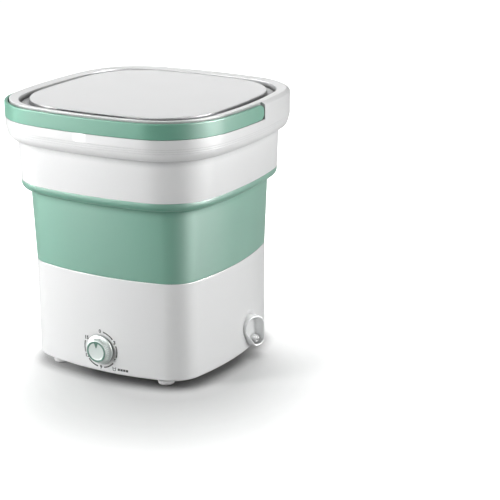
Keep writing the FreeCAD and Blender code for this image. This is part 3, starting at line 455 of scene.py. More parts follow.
def moulded(name, colour, roughness, grain=900.0, grain_depth=0.008, coat=0.0, soft=0.0,
            gap=5.0, gap_shade=0.6, shine=0.5):
    """Moulded plastic or rubber: faint colour drift, uneven gloss, fine grain and slight waviness.

    Gaps up to a width in millimetres get painted shade: their colour darkens towards gap_shade and their
    gloss and coat dull. The grain's depth is in millimetres too.
    """
    n = Nodes(name)
    colour_drift = 0.015
    gloss_drift = 0.02
    waviness = 0.02 * MM
    drift = n.noise(5.0, 0.0)
    tone = n.mix(drift, shade(colour, 1 - colour_drift), shade(colour, 1 + colour_drift))
    # painted shade: deep in gaps and corners the colour darkens towards gap_shade and gloss and coat fade
    crevice = n.crevice(gap * MM)
    open_share = n.ramp(crevice, 0.0, 1.0, 0.35, 0.95)
    n.set("Base Color", n.mix(open_share, shade(colour, gap_shade), tone))
    n.set("Specular IOR Level", n.ramp(crevice, 0.05, shine, 0.45, 0.9))
    smears = n.noise(14.0, 0.0, (1.0, 1.0, 0.35))
    n.set("Roughness", n.ramp(smears, roughness - gloss_drift, roughness + gloss_drift, 0.0, 1.0))
    wave = n.bump(n.noise(9.0, 1.0), waviness)
    n.set("Normal", n.bump(n.noise(grain, 2.0), grain_depth * MM, over=wave))
    if coat:
        n.set("Coat Weight", n.ramp(crevice, 0.0, coat, 0.45, 0.9))
        n.set("Coat Roughness", roughness * 0.6)
    if soft:
        n.set("Subsurface Weight", soft)
        n.set("Subsurface Radius", (4 * MM, 4 * MM, 4 * MM))
        n.set("Subsurface Scale", 1.0)
    return n.material


def soft_rubber(name, colour):
    """Satin thermoplastic rubber of the folding wall, with a velvety edge sheen."""
    # painted shade: darker and duller in gaps up to 12 mm wide
    material = moulded(name, colour, 0.33, grain=1400.0, grain_depth=0.01, soft=0.04,
                       gap=12.0, gap_shade=0.45, shine=0.9)
    shader = material.node_tree.nodes["Principled BSDF"]
    shader.inputs["Sheen Weight"].default_value = 0.05
    shader.inputs["Sheen Roughness"].default_value = 0.35
    return material


def metal(name, colour, roughness):
    """Machined or plated metal with fine tool streaks and handling marks."""
    n = Nodes(name)
    streak_depth = 0.012 * MM
    streaks = n.noise(420.0, 4.0, (1.0, 1.0, 14.0))
    n.set("Base Color", n.mix(n.ramp(streaks, 0.0, 1.0), shade(colour, 0.82), shade(colour, 1.08)))
    n.set("Metallic", 1.0)
    n.set("Roughness", n.ramp(n.noise(60.0, 5.0), roughness - 0.06, roughness + 0.10))
    n.set("Normal", n.bump(streaks, streak_depth))
    return n.material


def ferrite(name, colour):
    """Pressed ferrite: dark, matt and slightly pitted."""
    n = Nodes(name)
    pits = n.noise(800.0, 6.0)
    n.set("Base Color", n.mix(n.ramp(pits, 0.0, 1.0), shade(colour, 0.6), shade(colour, 1.4)))
    n.set("Roughness", 0.7)
    n.set("Normal", n.bump(pits, 0.05 * MM))
    return n.material


def milky(name, colour):
    """The lid's slightly translucent plastic, with painted shade, nearly black, in the deep groove round its
    panel.
    """
    return moulded(name, colour, 0.22, grain=600.0, coat=0.3, soft=0.15, gap=34.0, gap_shade=0.02)


def clear_rubber(name, colour):
    """Translucent silicone."""
    material = moulded(name, colour, 0.30, grain=700.0, grain_depth=0.01, soft=0.3)
    material.node_tree.nodes["Principled BSDF"].inputs["Transmission Weight"].default_value = 0.25
    return material


def ink(name, colour):
    """Printed ink: slightly uneven coverage and a dull sheen."""
    n = Nodes(name)
    n.set("Base Color", n.mix(n.ramp(n.noise(2500.0, 4.0), 0.0, 1.0), colour, shade(colour, 1.8)))
    n.set("Roughness", 0.45)
    n.set("Normal", n.bump(n.noise(1800.0), 0.006 * MM))
    return n.material


WHITE = (0.83, 0.835, 0.835)
MINT = (0.152, 0.370, 0.275)
FINISHES = {
    # white_gloss: painted shade, darker and duller, in gaps up to 10 mm wide
    "white_gloss": moulded("white_gloss", WHITE, 0.30, coat=0.25, soft=0.03, gap=10.0, gap_shade=0.42),
    "lid_milky": milky("lid_milky", (0.78, 0.785, 0.79)),
    "mint_soft": soft_rubber("mint_soft", MINT),
    "mint_gloss": moulded("mint_gloss", (0.145, 0.38, 0.275), 0.36, soft=0.03, shine=0.33),
    "clear_silicone": clear_rubber("clear_silicone", (0.80, 0.81, 0.81)),
    "frosted": moulded("frosted", (0.80, 0.81, 0.81), 0.30, coat=0.2, soft=0.6),
    "knob_white": moulded("knob_white", (0.76, 0.83, 0.80), 0.22, coat=0.3, soft=0.1),
    "white_matte": moulded("white_matte", (0.74, 0.74, 0.73), 0.52, grain=500.0, grain_depth=0.05),
    "foot_white": moulded("foot_white", (0.80, 0.80, 0.80), 0.35, grain=700.0, grain_depth=0.02),
    "black_rubber": moulded("black_rubber", (0.022, 0.022, 0.023), 0.65, grain=400.0, grain_depth=0.06),
    "nylon": moulded("nylon", (0.70, 0.68, 0.60), 0.45, grain=500.0, grain_depth=0.03, soft=0.1),
    "black_plastic": moulded("black_plastic", (0.022, 0.022, 0.025), 0.45, grain=450.0, grain_depth=0.05),
    "steel": metal("steel", (0.56, 0.56, 0.57), 0.36),
    "bronze": metal("bronze", (0.55, 0.36, 0.15), 0.42),
    "magnet": ferrite("magnet", (0.045, 0.045, 0.05)),
    "black_wire": moulded("black_wire", (0.02, 0.02, 0.02), 0.38),
    "red_wire": moulded("red_wire", (0.40, 0.015, 0.012), 0.38),
}
INK = ink("dial_ink", (0.02, 0.022, 0.022))
TRIM = moulded("trim_green", (0.09, 0.21, 0.16), 0.34, coat=0.1)

for part in frame["record"]["subparts"]:
    node = frame["nodes"][part["node"]]
    node.data.materials.clear()
    node.data.materials.append(FINISHES[part["material_slot"]])
frame["nodes"]["knob_trim"].data.materials[0] = TRIM

# ---------------------------------------------------------------- base and folding wall


def base_shell():
    """Skirt and wash floor in one moulding, with its openings cut through."""
    underside = -9.0
    floor_edge = -30.0
    floor_bottom = FLOOR_TOP - 3 * MM
    hub_radius = 9 * MM
    bottom_offset = -BASE_DRAFT / MM
    foot_round = 3.8
    floor_fillet = 7
    longest = 12 * MM
    outside = rounded(in_mm([
        (underside, BASE_BOTTOM),
        (bottom_offset, BASE_BOTTOM, foot_round),
        (0, BASE_TOP, 0.7),
        (-WALL, BASE_TOP, 0.7),
        (-WALL, FLOOR_TOP, floor_fillet),
        (floor_edge, FLOOR_TOP),
    ]), closed=False)
    inside = rounded(in_mm([
        (floor_edge, floor_bottom),
        (-WALL, floor_bottom),
        (bottom_offset - WALL, BASE_BOTTOM + WALL * MM, 1.2),
        (underside, BASE_BOTTOM + WALL * MM),
    ]), closed=False)
    places = even_places()
    skin = Skin()

    def follow(section):
        """Carries a section round the base's outline."""
        for outward, height in split_open(section, longest):
            skin.ring([Vector((*BASE.at(place, outward), height)) for place in places])

    def floor_ring(share, height):
        """A ring of the floor, a share of the way from its edge to the hole in its middle."""
        ring = []
        for place in places:
            edge = BASE.at(place, floor_edge * MM)
            ring.append(Vector((*edge.lerp(edge.normalized() * hub_radius, share), height)))
        skin.ring(ring)

    follow(outside)
    floor_shares = (0.35, 0.7, 1.0)
    for share in floor_shares:
        floor_ring(share, FLOOR_TOP)
    for share in reversed(floor_shares):
        floor_ring(share, floor_bottom)
    follow(inside)
    skin.close()
    made = piece("base_skirt", skin.mesh, FINISHES["white_gloss"], None)
    carve(made, base_cutters(floor_bottom))
    made.data.set_sharp_from_angle(angle=math.radians(SHARP))
    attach(made, "base")
    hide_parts("base_shell")
    even_normals(made)


def base_cutters(floor_bottom):
    """Holes for the timer shaft and its screws, the drain fitting, power socket, strainer and sump."""
    inside = BASE_HALF - 8 * MM
    outside = BASE_HALF + MM
    outlet = PLUG_MIDDLE
    socket = (low("power_socket") + high("power_socket")) / 2
    sump = (low("drain_strainer") + high("drain_strainer")) / 2
    strainer_bottom = low("drain_strainer").z - 0.1 * MM
    shaft_radius = 5.0
    outlet_radius = 7.6
    socket_radius = 5.6
    strainer_radius = 12.5
    sump_radius = 4.5
    holes = [
        ((0, -outside, KNOB_HEIGHT), (0, -inside, KNOB_HEIGHT), shaft_radius),
        ((inside, outlet.y, outlet.z), (outside, outlet.y, outlet.z), outlet_radius),
        ((0, inside, socket.z), (0, outside, socket.z), socket_radius),
        ((sump.x, sump.y, strainer_bottom), (sump.x, sump.y, FLOOR_TOP + MM), strainer_radius),
        ((sump.x, sump.y, floor_bottom - MM), (sump.x, sump.y, FLOOR_TOP), sump_radius),
    ]
    screw_spacing = 12 * MM
    screw_end = -BASE_HALF + 1.9 * MM
    screw_radius = 3.2
    for x in (-screw_spacing, screw_spacing):
        holes.append(((x, -outside - MM, KNOB_HEIGHT), (x, screw_end, KNOB_HEIGHT), screw_radius))
    return [cylinder_cutter(Vector(start), Vector(end), radius * MM) for start, end, radius in holes]


def folding_wall():
    """Soft wall with a rounded lip; on the real washer it turns inside out as the tub drops over the base."""
    foot_offset = -0.3
    top_offset = 3.6
    thin = 1.4
    gap = TUB_HALF - BASE_HALF
    lip_outside = (gap - TUB_DRAFT) / MM
    lip_inside = lip_outside - WALL
    fillet = 3.6
    lip_round = lip_outside - top_offset - fillet - 0.1
    inner_fillet = 6
    wall_end = LIP_BOTTOM + 2 * MM
    longest = 4 * MM
    crossing_end = lip_outside - 4
    section = split_long(rounded(in_mm([
        (foot_offset, WALL_BOTTOM, 0.5),
        (top_offset, LIP_BOTTOM, fillet),
        (lip_outside, LIP_BOTTOM, lip_round),
        (lip_outside, WALL_TOP, 0.25),
        (lip_inside, WALL_TOP),
        (lip_inside, wall_end, inner_fillet),
        (top_offset - thin, wall_end, 1.5),
        (foot_offset - thin, WALL_BOTTOM, 0.5),
    ]), steps=8), longest)
    outline = Between(BASE, TUB, gap, top_offset * MM, crossing_end * MM)
    mesh = swept(lambda place: section, outline, even_places())
    made = piece("folding_wall_skin", mesh, FINISHES["mint_soft"], None, ["folding_wall"])
    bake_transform(made)


# ---------------------------------------------------------------- tub, collar and handle


def upper_tub():
    """Rigid upper wall, a little wider towards its top."""
    flare = TUB_FLARE / MM
    draft = TUB_DRAFT / MM
    section = rounded(in_mm([
        (-draft, TUB_BOTTOM, 0.35),
        (flare, TUB_TOP, 0.5),
        (flare - WALL, TUB_TOP, 0.5),
        (-draft - WALL, TUB_BOTTOM, 0.5),
    ]))
    mesh = swept(lambda place: section, TUB, even_places())
    made = piece("upper_tub_skin", mesh, FINISHES["white_gloss"], "tub", ["upper_tub"])
    even_normals(made)


RECESS_END = TUB.right_place(HANDLE_HIGH.y + HANDLE_END_GAP, RIM)
HANDLE_STOP = TUB.right_place(HANDLE_HIGH.y, RIM)
HANDLE_START = TUB.right_place(0, RIM)
RECESS_FACE = RIM - HANDLE_THICKNESS - HANDLE_BACK_GAP


def collar_section(recessed):
    """The collar's section. Recessed or not, it has the same number of points."""
    step_depth = 0.7
    step_height = 3.0
    steps = 3
    face = RIM / MM
    waist = face - steps * step_depth
    steps_top = COLLAR_BOTTOM + 21.5 * MM
    waist_top = steps_top - steps * step_height * MM
    inside = -3.5
    seat_edge = inside - 7
    foot = 0.5
    skin = 2.4
    outer_foot_round = 11.5
    inner_foot_round = 9
    ledge = HANDLE_LOW.z - 0.2 * MM
    crown_edge = COLLAR_TOP - 2.1 * MM
    shoulder = COLLAR_TOP - 3.6 * MM
    shoulder_run = 5.5
    corners = [(foot, COLLAR_BOTTOM), (waist, COLLAR_BOTTOM, outer_foot_round)]
    for i in range(steps):
        outward = waist + i * step_depth
        height = waist_top + i * step_height * MM
        corners.append((outward, height, 0.2))
        corners.append((outward + step_depth, height + step_depth * MM / 2, 0.3))
    recess = RECESS_FACE / MM
    if recessed:
        corners += [
            (face, ledge, 0.35),
            (recess, ledge, 0.5),
            (recess, COLLAR_TOP, 0.7),
        ]
    else:
        corners += [
            (face, ledge, 0.35),
            (face, shoulder, 1.2),
            (face - shoulder_run, COLLAR_TOP, 2.6),
        ]
    corners += [
        (inside, crown_edge, 0.9),
        (inside, SEAT_TOP, 0.3),
        (seat_edge, SEAT_TOP, 0.3),
        (seat_edge, SEAT_TOP - skin * MM, 0.3),
        (inside + skin, SEAT_TOP - skin * MM),
        (inside + skin, crown_edge - 4 * MM),
        (recess - skin, crown_edge - 2 * MM),
        (recess - skin, ledge - skin * MM),
        (waist - skin, ledge - skin * MM),
        (waist - skin, COLLAR_BOTTOM + skin * MM, inner_foot_round),
        (foot, COLLAR_BOTTOM + skin * MM),
    ]
    return rounded(in_mm(corners))


def collar_places():
    """Even places, with extra ones at the recess's two ends and across the finger scoop."""
    tiny = 1e-4
    ends = [RECESS_END, LEFT_SIDE + 1 - RECESS_END]
    scoop_half = 0.085
    scoop_steps = 40
    scoop = [FRONT_MIDDLE - scoop_half + 2 * scoop_half * i / scoop_steps for i in range(scoop_steps + 1)]
    extra = ends + [ends[0] + tiny, ends[1] - tiny] + scoop
    closest = 0.004
    clear = [place for place in even_places() if min(abs(place - other) for other in extra) > closest]
    return sorted(clear + extra)


def is_recessed(place):
    """Whether a place is in the handle's recess, from the left side round the front to the right side."""
    return place <= RECESS_END or place >= LEFT_SIDE + 1 - RECESS_END


def collar():
    """Ring that caps the tub, with the handle's recess round its front half and a finger scoop."""
    sections = {}
    for recessed in (True, False):
        sections[recessed] = split_long(collar_section(recessed), 2 * MM, top=HANDLE_LOW.z - MM)
    mesh = swept(lambda place: sections[is_recessed(place)], TUB, collar_places())
    press_scoop(mesh)
    made = piece("collar_skin", mesh, FINISHES["white_gloss"], "tub", ["collar"])
    even_normals(made)


def press_scoop(mesh):
    """Presses a shallow finger scoop, part of a ball, into the collar's face under the handle's middle."""
    half_width = 14 * MM
    depth = 1.8 * MM
    radius = (half_width**2 + depth**2) / (2 * depth)
    centre = Vector((0, -RIM_HALF - radius + depth, HANDLE_LOW.z + half_width / 2))
    reach = 5.2 * MM  # how far in from the rim the scoop may move a point
    for vert in mesh.verts:
        on_face = vert.co.y < -RIM_HALF + reach and vert.co.z < HANDLE_LOW.z
        away = vert.co - centre
        if on_face and away.length < radius:
            vert.co.y = centre.y + math.sqrt(radius**2 - away.x**2 - away.z**2)


def handle():
    """Carrying handle: a band round the collar's front half whose ends are round about the pivots."""
    start = LEFT_SIDE + 1 - HANDLE_STOP
    end = ALL_ROUND + HANDLE_STOP
    straight_start = LEFT_SIDE + 1 - HANDLE_START
    straight_end = ALL_ROUND + HANDLE_START
    end_steps = 10
    places = [start + (straight_start - start) * i / end_steps for i in range(end_steps)]
    places += [place for place in even_places() if straight_start <= place]
    places += [ALL_ROUND + place for place in even_places() if place < HANDLE_START]
    places += [straight_end + (end - straight_end) * i / end_steps for i in range(end_steps + 1)]
    half_height = (HANDLE_HIGH.z - HANDLE_LOW.z) / 2
    inner = RIM - HANDLE_THICKNESS
    outer_round = 1.0 * MM
    inner_round = 0.5 * MM
    skin = Skin()
    for place in places:
        beyond = max(0.0, straight_start - place, place - straight_end) / (end - straight_end)
        reach = HANDLE_HIGH.y * beyond
        half = math.sqrt(max(half_height**2 - reach**2, 0))
        section = rounded([
            (RIM, HANDLE_MIDDLE - half, outer_round),
            (RIM, HANDLE_MIDDLE + half, outer_round),
            (inner, HANDLE_MIDDLE + half, inner_round),
            (inner, HANDLE_MIDDLE - half, inner_round),
        ], steps=5)
        ring = []
        for outward, height in section:
            flat = TUB.at(place % ALL_ROUND, outward)
            ring.append(Vector((flat.x, flat.y, height)))
        skin.ring(ring)
    for ring in (skin.rings[0], skin.rings[-1]):
        skin.mesh.faces.new(ring)
    made = piece("handle_band", skin.mesh, FINISHES["mint_gloss"], "handle", ["handle"])
    even_normals(made)


# ---------------------------------------------------------------- lid


RIBS = 84


def is_front(place):
    """Whether a place is on the front side, between its corners."""
    return FRONT_START <= place < FRONT_END


def lid_places():
    """Even places, much closer along the front side, where the panel's edge is ribbed."""
    steps = RIBS * 6
    front = [FRONT_START + i / steps for i in range(steps)]
    return sorted([place for place in even_places() if not is_front(place)] + front)


def rib(place):
    """How far a rib stands out at a place, from 0 to 1, fading at the ends of the front side."""
    fade_length = 0.06
    if not is_front(place):
        return 0.0
    fade = min(1.0, (place - FRONT_START) / fade_length, (FRONT_END - place) / fade_length)
    return fade * (0.5 - 0.5 * math.cos(2 * math.pi * RIBS * place))


def lid():
    """Lift-off lid: a frame inside the collar and a raised panel with a ribbed front edge."""
    places = lid_places()
    edge = LID_EDGE / MM
    thickness = 2.6
    frame_bottom = LID_FRAME_TOP - 2.0 * MM
    skirt = edge - 2.4
    panel_foot = 1.2
    foot_flat = 1.2
    top_inset = -4
    rib_depth = 0.55
    crown = 0.5 * MM
    under = LID_HIGH.z - thickness * MM
    skin = Skin()

    def ring(outline, outward, height, scale=1.0, ribbed=0.0):
        """Adds a ring along an outline, with ribs of a depth in millimetres, scaled about the middle."""
        points = []
        for place in places:
            flat = outline.at(place, outward * MM + rib(place) * ribbed * MM) * scale
            points.append(Vector((flat.x, flat.y, height)))
        skin.ring(points)

    for scale in (0.3, 0.6, 0.85):
        ring(PANEL, -thickness, under, scale)
    for outward, height in rounded(in_mm([
        (-3.0, under),
        (-thickness, under, 0.3),
        (-thickness, frame_bottom),
    ]), closed=False):
        ring(PANEL, outward / MM, height)
    for outward, height in rounded(in_mm([
        (skirt, frame_bottom),
        (skirt, LID_LOW.z, 0.3),
        (edge, LID_LOW.z, 0.3),
        (edge, LID_FRAME_TOP, 1.0),
        (edge - 2.5, LID_FRAME_TOP),
    ]), closed=False):
        ring(TUB, outward / MM, height)
    side = rounded(in_mm([
        (panel_foot + foot_flat, LID_FRAME_TOP),
        (panel_foot, LID_FRAME_TOP, 0.4),
        (0.2, LID_HIGH.z, 1.6),
        (top_inset, LID_HIGH.z + 0.03 * MM),
    ]), closed=False)
    for outward, height in side:
        share = (height - LID_FRAME_TOP) / (LID_HIGH.z - LID_FRAME_TOP)
        on_edge = 0.02 < share < 0.97
        ring(PANEL, outward / MM, height, ribbed=rib_depth if on_edge else 0.0)
    for scale in (0.94, 0.85, 0.7, 0.5, 0.3, 0.12):
        ring(PANEL, top_inset, LID_HIGH.z + crown * (1 - scale**2), scale)
    skin.tip(Vector((0, 0, under)), 0)
    skin.tip(Vector((0, 0, LID_HIGH.z + crown)), -1)
    made = piece("lid_skin", skin.mesh, FINISHES["lid_milky"], "lid", ["lid_panel"], sharp=50)
    even_normals(made)


# ---------------------------------------------------------------- knob and dial


def knob():
    """Timer knob: a flange, a fluted taper and a shallow dished face inside the coloured ring."""
    flutes = 34
    per_flute = 8
    count = flutes * per_flute
    face_radius = 15.6 * MM
    flange = 1.8 * MM
    taper_start = 3.2 * MM
    taper_radius = face_radius + 1.2 * MM
    ring_outer = 14.7 * MM
    ring_inner = 12.2 * MM
    ring_depth = MM
    dish = 0.8 * MM
    hub = 3.1 * MM
    flute_depth = 0.9 * MM
    depth = KNOB_BACK - KNOB_FACE
    section = rounded([
        (hub, 0),
        (KNOB_RADIUS, 0, 0.6 * MM),
        (KNOB_RADIUS - 0.4 * MM, flange, 0.6 * MM),
        (taper_radius, taper_start, 1.2 * MM),
        (face_radius, depth, 1.3 * MM),
        (ring_outer, depth, 0.1 * MM),
        (ring_outer, depth - ring_depth),
        (ring_inner, depth - ring_depth),
        (ring_inner, depth, 0.15 * MM),
        (ring_inner - dish, depth - dish / 2, dish / 2),
        (hub, depth - dish),
    ], closed=False)
    skin = Skin()
    for radius, ahead in split_open(section, 1.2 * MM):
        on_taper = taper_start + 0.4 * MM < ahead < depth - MM and radius > face_radius - 0.3 * MM
        ring = []
        for i in range(count):
            angle = 2 * math.pi * i / count
            groove = 0.5 - 0.5 * math.cos(angle * flutes)
            here = radius - (flute_depth * groove**2 if on_taper else 0)
            across = here * math.cos(angle)
            up = here * math.sin(angle)
            ring.append(Vector((across, KNOB_BACK - ahead, KNOB_HEIGHT + up)))
        skin.ring(ring)
    skin.tip(Vector((0, KNOB_FACE + dish, KNOB_HEIGHT)), -1)
    made = piece("knob_grip", skin.mesh, FINISHES["knob_white"], "knob", ["knob"], sharp=40)
    even_normals(made)


def wall_out(along, z):
    """How far the base's wall is from the washer's middle, at a distance along one side and a height."""
    draft = BASE_DRAFT * (BASE_TOP - z) / (BASE_TOP - BASE_BOTTOM)
    return math.sqrt((BASE.side - draft) ** 2 - along**2) - (BASE.side - BASE_HALF)


def front_point(x, z, proud):
    """A point on the base's front, standing proud of it by a distance."""
    return Vector((x, -wall_out(x, z) - proud, z))


INK_THICKNESS = 0.06 * MM


def printed(name, outline_faces):
    """A thin printed mark on the base's front, from flat faces given as lists of (x, z)."""
    mesh = bmesh.new()
    for corners in outline_faces:
        front = [mesh.verts.new(front_point(x, z, INK_THICKNESS)) for x, z in corners]
        back = [mesh.verts.new(front_point(x, z, -INK_THICKNESS)) for x, z in corners]
        mesh.faces.new(front)
        mesh.faces.new(back[::-1])
        for i in range(len(corners)):
            following = (i + 1) % len(corners)
            mesh.faces.new((front[i], back[i], back[following], front[following]))
    piece(name, mesh, INK, "base")


def dial_place(minutes):
    """The angle of a number of minutes on the dial, clockwise from the top."""
    degrees_per_minute = 20
    return math.radians(minutes * degrees_per_minute)


def dial():
    """Numbers every three minutes round the knob, with arcs between them."""
    between = 3
    last = 15
    clearance = math.radians(11)  # from a number's middle to the arc beside it
    radius = 25.9 * MM
    half_line = 0.9 * MM
    arc_steps = 10
    number_size = 7.0 * MM
    for minutes in range(0, last, between):
        start = dial_place(minutes) + clearance
        end = dial_place(minutes + between) - clearance
        faces = []
        for i in range(arc_steps):
            angles = [start + (end - start) * (i + k) / arc_steps for k in (0, 1)]
            corners = [(angles[0], radius - half_line), (angles[1], radius - half_line),
                       (angles[1], radius + half_line), (angles[0], radius + half_line)]
            faces.append([(r * math.sin(a), KNOB_HEIGHT + r * math.cos(a)) for a, r in corners])
        printed("dial_arc_%d" % minutes, faces)
    for minutes in range(0, last + between, between):
        angle = dial_place(minutes)
        numeral(str(minutes), radius * math.sin(angle), KNOB_HEIGHT + radius * math.cos(angle), number_size)


def numeral(text, x, z, size):
    """A number printed on the base's front."""
    curve = bpy.data.curves.new("numeral", "FONT")
    curve.body = text
    curve.size = size
    curve.align_x = "CENTER"
    curve.align_y = "CENTER"
    boldness = 0.045
    curve.offset = boldness * size
    curve.extrude = INK_THICKNESS
    lettering = bpy.data.objects.new("numeral", curve)
    bpy.context.scene.collection.objects.link(lettering)
    depsgraph = bpy.context.evaluated_depsgraph_get()
    data = bpy.data.meshes.new_from_object(lettering.evaluated_get(depsgraph))
    bpy.data.objects.remove(lettering)
    mesh = bmesh.new()
    mesh.from_mesh(data)
    for vert in mesh.verts:
        vert.co = front_point(x + vert.co.x, z + vert.co.y, vert.co.z)
    piece("dial_number_" + text, mesh, INK, "base")


def symbol():
    """A small generic wash-tub symbol and a row of plain marks, low on the right of the front."""
    x = 21 * MM
    z = KNOB_HEIGHT - 25 * MM
    half = 2.8 * MM
    foot = half * 0.7  # half the tub's width at its foot
    line = 0.7 * MM
    sides = []
    for side in (-1, 1):
        rim = x + side * half
        base = x + side * foot
        inward = -side * line
        sides.append([(rim, z + half), (rim + inward, z + half), (base + inward, z - half), (base, z - half)])
    bottom = bar(x - foot, x + foot, z - half, z - half + line)
    water_half = half * 0.9
    water = bar(x - water_half, x + water_half, z + line, z + 2 * line)
    printed("wash_symbol", sides + [bottom, water])
    mark_count = 4
    mark_start = x + 5.5 * MM
    mark_width = 3.3 * MM
    mark_half_height = 1.6 * MM
    mark_spacing = 4.1 * MM
    marks = []
    for i in range(mark_count):
        left = mark_start + i * mark_spacing
        marks.append(bar(left, left + mark_width, z - mark_half_height, z + mark_half_height))
    printed("wash_marks", marks)


def bar(left, right, bottom, top):
    """The corners of an upright rectangle."""
    return [(left, bottom), (right, bottom), (right, top), (left, top)]


# ---------------------------------------------------------------- drain outlet


def teardrop():
    """Centre, radius and direction of points round the outlet: a large circle, then a small one."""
    steps = 22
    bowl_radius = 16.5 * MM
    mouth_radius = 10.5 * MM
    mouth = Vector((PLUG_MIDDLE.y, PLUG_MIDDLE.z))
    bowl = Vector((OUTLET_LOW.y + bowl_radius, OUTLET_HIGH.z - bowl_radius))
    line = mouth - bowl
    aim = math.atan2(line.y, line.x)
    spread = math.acos((bowl_radius - mouth_radius) / line.length)
    points = []
    for centre, radius, start, sweep in (
        (bowl, bowl_radius, aim + spread, 2 * math.pi - 2 * spread),
        (mouth, mouth_radius, aim - spread, 2 * spread),
    ):
        for i in range(steps + 1):
            angle = start + sweep * i / steps
            points.append((centre, radius, Vector((math.cos(angle), math.sin(angle)))))
    return points


def rim_out(y):
    """How far out the outlet's sloping rim is."""
    share = (y - OUTLET_LOW.y) / (OUTLET_HIGH.y - OUTLET_LOW.y)
    return OUTLET_FRONT + (OUTLET_REAR - OUTLET_FRONT) * share


def drain_outlet():
    """Teardrop scoop on the right wall: a thin sloping rim round a hollow bowl."""
    rim = 2.0
    slope = 0.8
    fillet = 1.6
    sections = []
    for centre, radius, direction in teardrop():
        edge = centre + direction * radius
        rim_height = rim_out(edge.x)
        corners = rounded(in_mm([
            (0.6, wall_out(edge.x, edge.y) + 0.02 * MM),
            (0, rim_height, 0.8),
            (-rim, rim_height, 0.8),
            (-rim - slope, BOWL_FLOOR, fillet),
            (-rim - 4.0, BOWL_FLOOR),
        ]), closed=False)
        sections.append([(centre + direction * (radius + grow), out) for grow, out in corners])
    skin = Skin()
    for i in range(len(sections[0])):
        ring = [section[i] for section in sections]
        skin.ring([Vector((out, point.x, point.y)) for point, out in ring])
    middle = (OUTLET_LOW + OUTLET_HIGH) / 2
    skin.tip(Vector((BOWL_FLOOR, middle.y, middle.z)), -1)
    skin.mesh.faces.new(skin.rings[0][::-1])
    made = piece("outlet_bowl", skin.mesh, FINISHES["frosted"], "base", ["drain_outlet"])
    even_normals(made)


def outlet_nozzle():
    """The short nozzle in the bowl, with its bore and the threaded and barbed tail behind it."""
    tail = OUTLET_LOW.x
    thread_start = tail + 15 * MM
    end = BOWL_FLOOR + 7 * MM
    thread = 7.5 * MM
    barb = 6.5 * MM
    spout = 5.5 * MM
    bore = 4.0 * MM
    chamfer = 0.6 * MM
    section = [
        (barb, tail),
        (barb, thread_start),
        (thread, thread_start + MM),
        (thread, BOWL_FLOOR - MM),
        (spout, BOWL_FLOOR - MM),
        (spout, end - chamfer),
        (spout - chamfer, end),
        (bore, end),
        (bore, tail),
    ]
    skin = Skin()
    steps = 40
    for radius, out in section:
        ring = []
        for i in range(steps):
            angle = 2 * math.pi * i / steps
            around = Vector((0, math.cos(angle), math.sin(angle))) * radius
            ring.append(Vector((out, PLUG_MIDDLE.y, PLUG_MIDDLE.z)) + around)
        skin.ring(ring)
    skin.close()
    piece("outlet_nozzle", skin.mesh, FINISHES["frosted"], "base")


# ---------------------------------------------------------------- stage, light and camera


def floor():
    """A large pale floor that fades to plain white away from the washer."""
    half = 8.0
    corners = ((-half, -half, 0), (half, -half, 0), (half, half, 0), (-half, half, 0))
    mesh = bmesh.new()
    mesh.faces.new([mesh.verts.new(corner) for corner in corners])
    data = bpy.data.meshes.new("floor")
    mesh.to_mesh(data)
    mesh.free()
    data.materials.append(pale_floor())
    made = bpy.data.objects.new("floor", data)
    bpy.context.scene.collection.objects.link(made)


def pale_floor():
    """Nearly white to the camera, with a painted shadow and painted contact shade near the washer, and dull
    to the washer's own walls.
    """
    shadow_middle = (0.07, -0.07, 0.0)
    fade_start = 0.10
    fade_end = 0.425
    contact = 22 * MM
    n = Nodes("pale_floor")
    seen = n.add("ShaderNodeLightPath").outputs["Is Camera Ray"]
    paper = n.mix(n.ramp(n.noise(3.0), 0.0, 1.0), (0.71, 0.71, 0.71), (0.73, 0.73, 0.73))
    contact_shade = (0.16, 0.16, 0.16)
    unseen_grey = (0.45, 0.45, 0.45)
    # painted contact shade: close under the washer the camera-seen colour darkens towards contact_shade
    shaded = n.mix(n.ramp(n.crevice(contact), 0.0, 1.0, 0.3, 0.95), contact_shade, paper)
    n.set("Base Color", n.mix(seen, unseen_grey, shaded))
    n.set("Roughness", 0.9)
    n.set("Specular IOR Level", 0.0)
    away = n.add("ShaderNodeVectorMath", operation="DISTANCE")
    n.join(n.place, away.inputs[0])
    n.feed(shadow_middle, away.inputs[1])
    # painted shadow: the white glow fades out towards shadow_middle, so the floor stays grey near the washer
    glow = n.ramp(away.outputs["Value"], 0.0, 1.0, fade_start, fade_end)
    only_seen = n.add("ShaderNodeMath", operation="MULTIPLY")
    n.join(glow, only_seen.inputs[0])
    n.join(seen, only_seen.inputs[1])
    n.set("Emission Color", (1.0, 1.0, 1.0))
    n.set("Emission Strength", only_seen.outputs["Value"])
    return n.material


def softbox(name, azimuth, elevation, distance, size, power, diffuse=True, glossy=True):
    """A rectangular light aimed at the washer's middle.

    Its azimuth, anticlockwise from +X, and its elevation are in degrees, its width and height in metres.
    """
    light = bpy.data.lights.new(name, "AREA")
    light.shape = "RECTANGLE"
    light.size, light.size_y = size
    light.energy = power
    made = bpy.data.objects.new(name, light)
    bpy.context.scene.collection.objects.link(made)
    a = math.radians(azimuth)
    e = math.radians(elevation)
    target = Vector((0, 0, COLLAR_TOP / 2))
    away = Vector((math.cos(a) * math.cos(e), math.sin(a) * math.cos(e), math.sin(e)))
    made.location = target + away * distance
    made.rotation_mode = "QUATERNION"
    made.rotation_quaternion = away.to_track_quat("Z", "Y")
    made.visible_diffuse = diffuse
    made.visible_glossy = glossy
    made.visible_camera = False


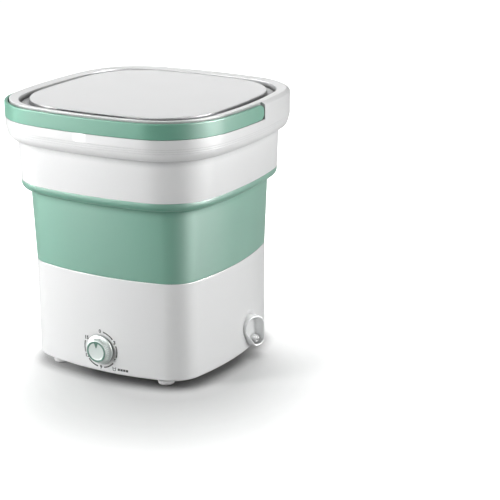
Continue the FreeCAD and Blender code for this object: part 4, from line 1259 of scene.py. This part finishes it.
def world():
    """Nearly dark to the washer's surfaces, pure white to the camera."""
    surroundings = bpy.data.worlds.new("studio")
    bpy.context.scene.world = surroundings
    surroundings.use_nodes = True
    tree = surroundings.node_tree
    dark = tree.nodes["Background"]
    dark.inputs["Color"].default_value = (0.01, 0.01, 0.01, 1)
    white = tree.nodes.new("ShaderNodeBackground")
    white.inputs["Color"].default_value = (1, 1, 1, 1)
    pure_white = 1.05  # just over 1, so that no noise shows
    white.inputs["Strength"].default_value = pure_white
    path = tree.nodes.new("ShaderNodeLightPath")
    mix = tree.nodes.new("ShaderNodeMixShader")
    tree.links.new(path.outputs["Is Camera Ray"], mix.inputs["Fac"])
    tree.links.new(dark.outputs["Background"], mix.inputs[1])
    tree.links.new(white.outputs["Background"], mix.inputs[2])
    tree.links.new(mix.outputs["Shader"], tree.nodes["World Output"].inputs["Surface"])


def lights():
    """Tall strips that only the gloss mirrors, and soft boxes that only light the surfaces.

    Each pair is an azimuth in degrees and a power in watts.
    """
    for azimuth, power in ((-165, 1000), (-150, 1150), (-135, 1200), (-120, 620), (-105, 560)):
        strip("left", azimuth, power)
    for azimuth, power in ((-15, 900), (0, 1900), (15, 3700), (30, 2800)):
        strip("right", azimuth, power)
    for azimuth, power in ((-155, 14.5), (-130, 42), (-5, 18), (20, 17)):
        softbox("side_%d" % azimuth, azimuth, 15, 2.2, (0.6, 1.8), power, glossy=False)
    softbox("back", 110, 25, 2.4, (1.5, 1.5), 10, glossy=False)
    softbox("top", 120, 60, 2.2, (1.2, 1.2), 26, glossy=False)
    softbox("lid_sheet", 134, 18, 2.6, (2.5, 1.2), 8, diffuse=False)


def strip(side, azimuth, power):
    """A tall narrow light that shows only in the gloss."""
    softbox("%s_strip_%d" % (side, azimuth), azimuth, 6, 6.0, (1.36, 7.1), power, diffuse=False)


def camera():
    """A level camera that looks down, aimed a little to the right of the washer's middle."""
    yaw = math.radians(28.302)
    pitch = math.radians(17.935)
    place = (1.0421, -1.6464, 0.7749)
    data = bpy.data.cameras.new("camera")
    data.sensor_width = 36.0
    data.lens = 104.16
    made = bpy.data.objects.new("camera", data)
    bpy.context.scene.collection.objects.link(made)
    made.location = place
    made.rotation_euler = (math.pi / 2 - pitch, 0, yaw)
    bpy.context.scene.camera = made


base_shell()
folding_wall()
upper_tub()
collar()
handle()
lid()
knob()
dial()
symbol()
drain_outlet()
outlet_nozzle()
floor()
world()
lights()
camera()
bpy.context.scene.view_settings.view_transform = "Standard"
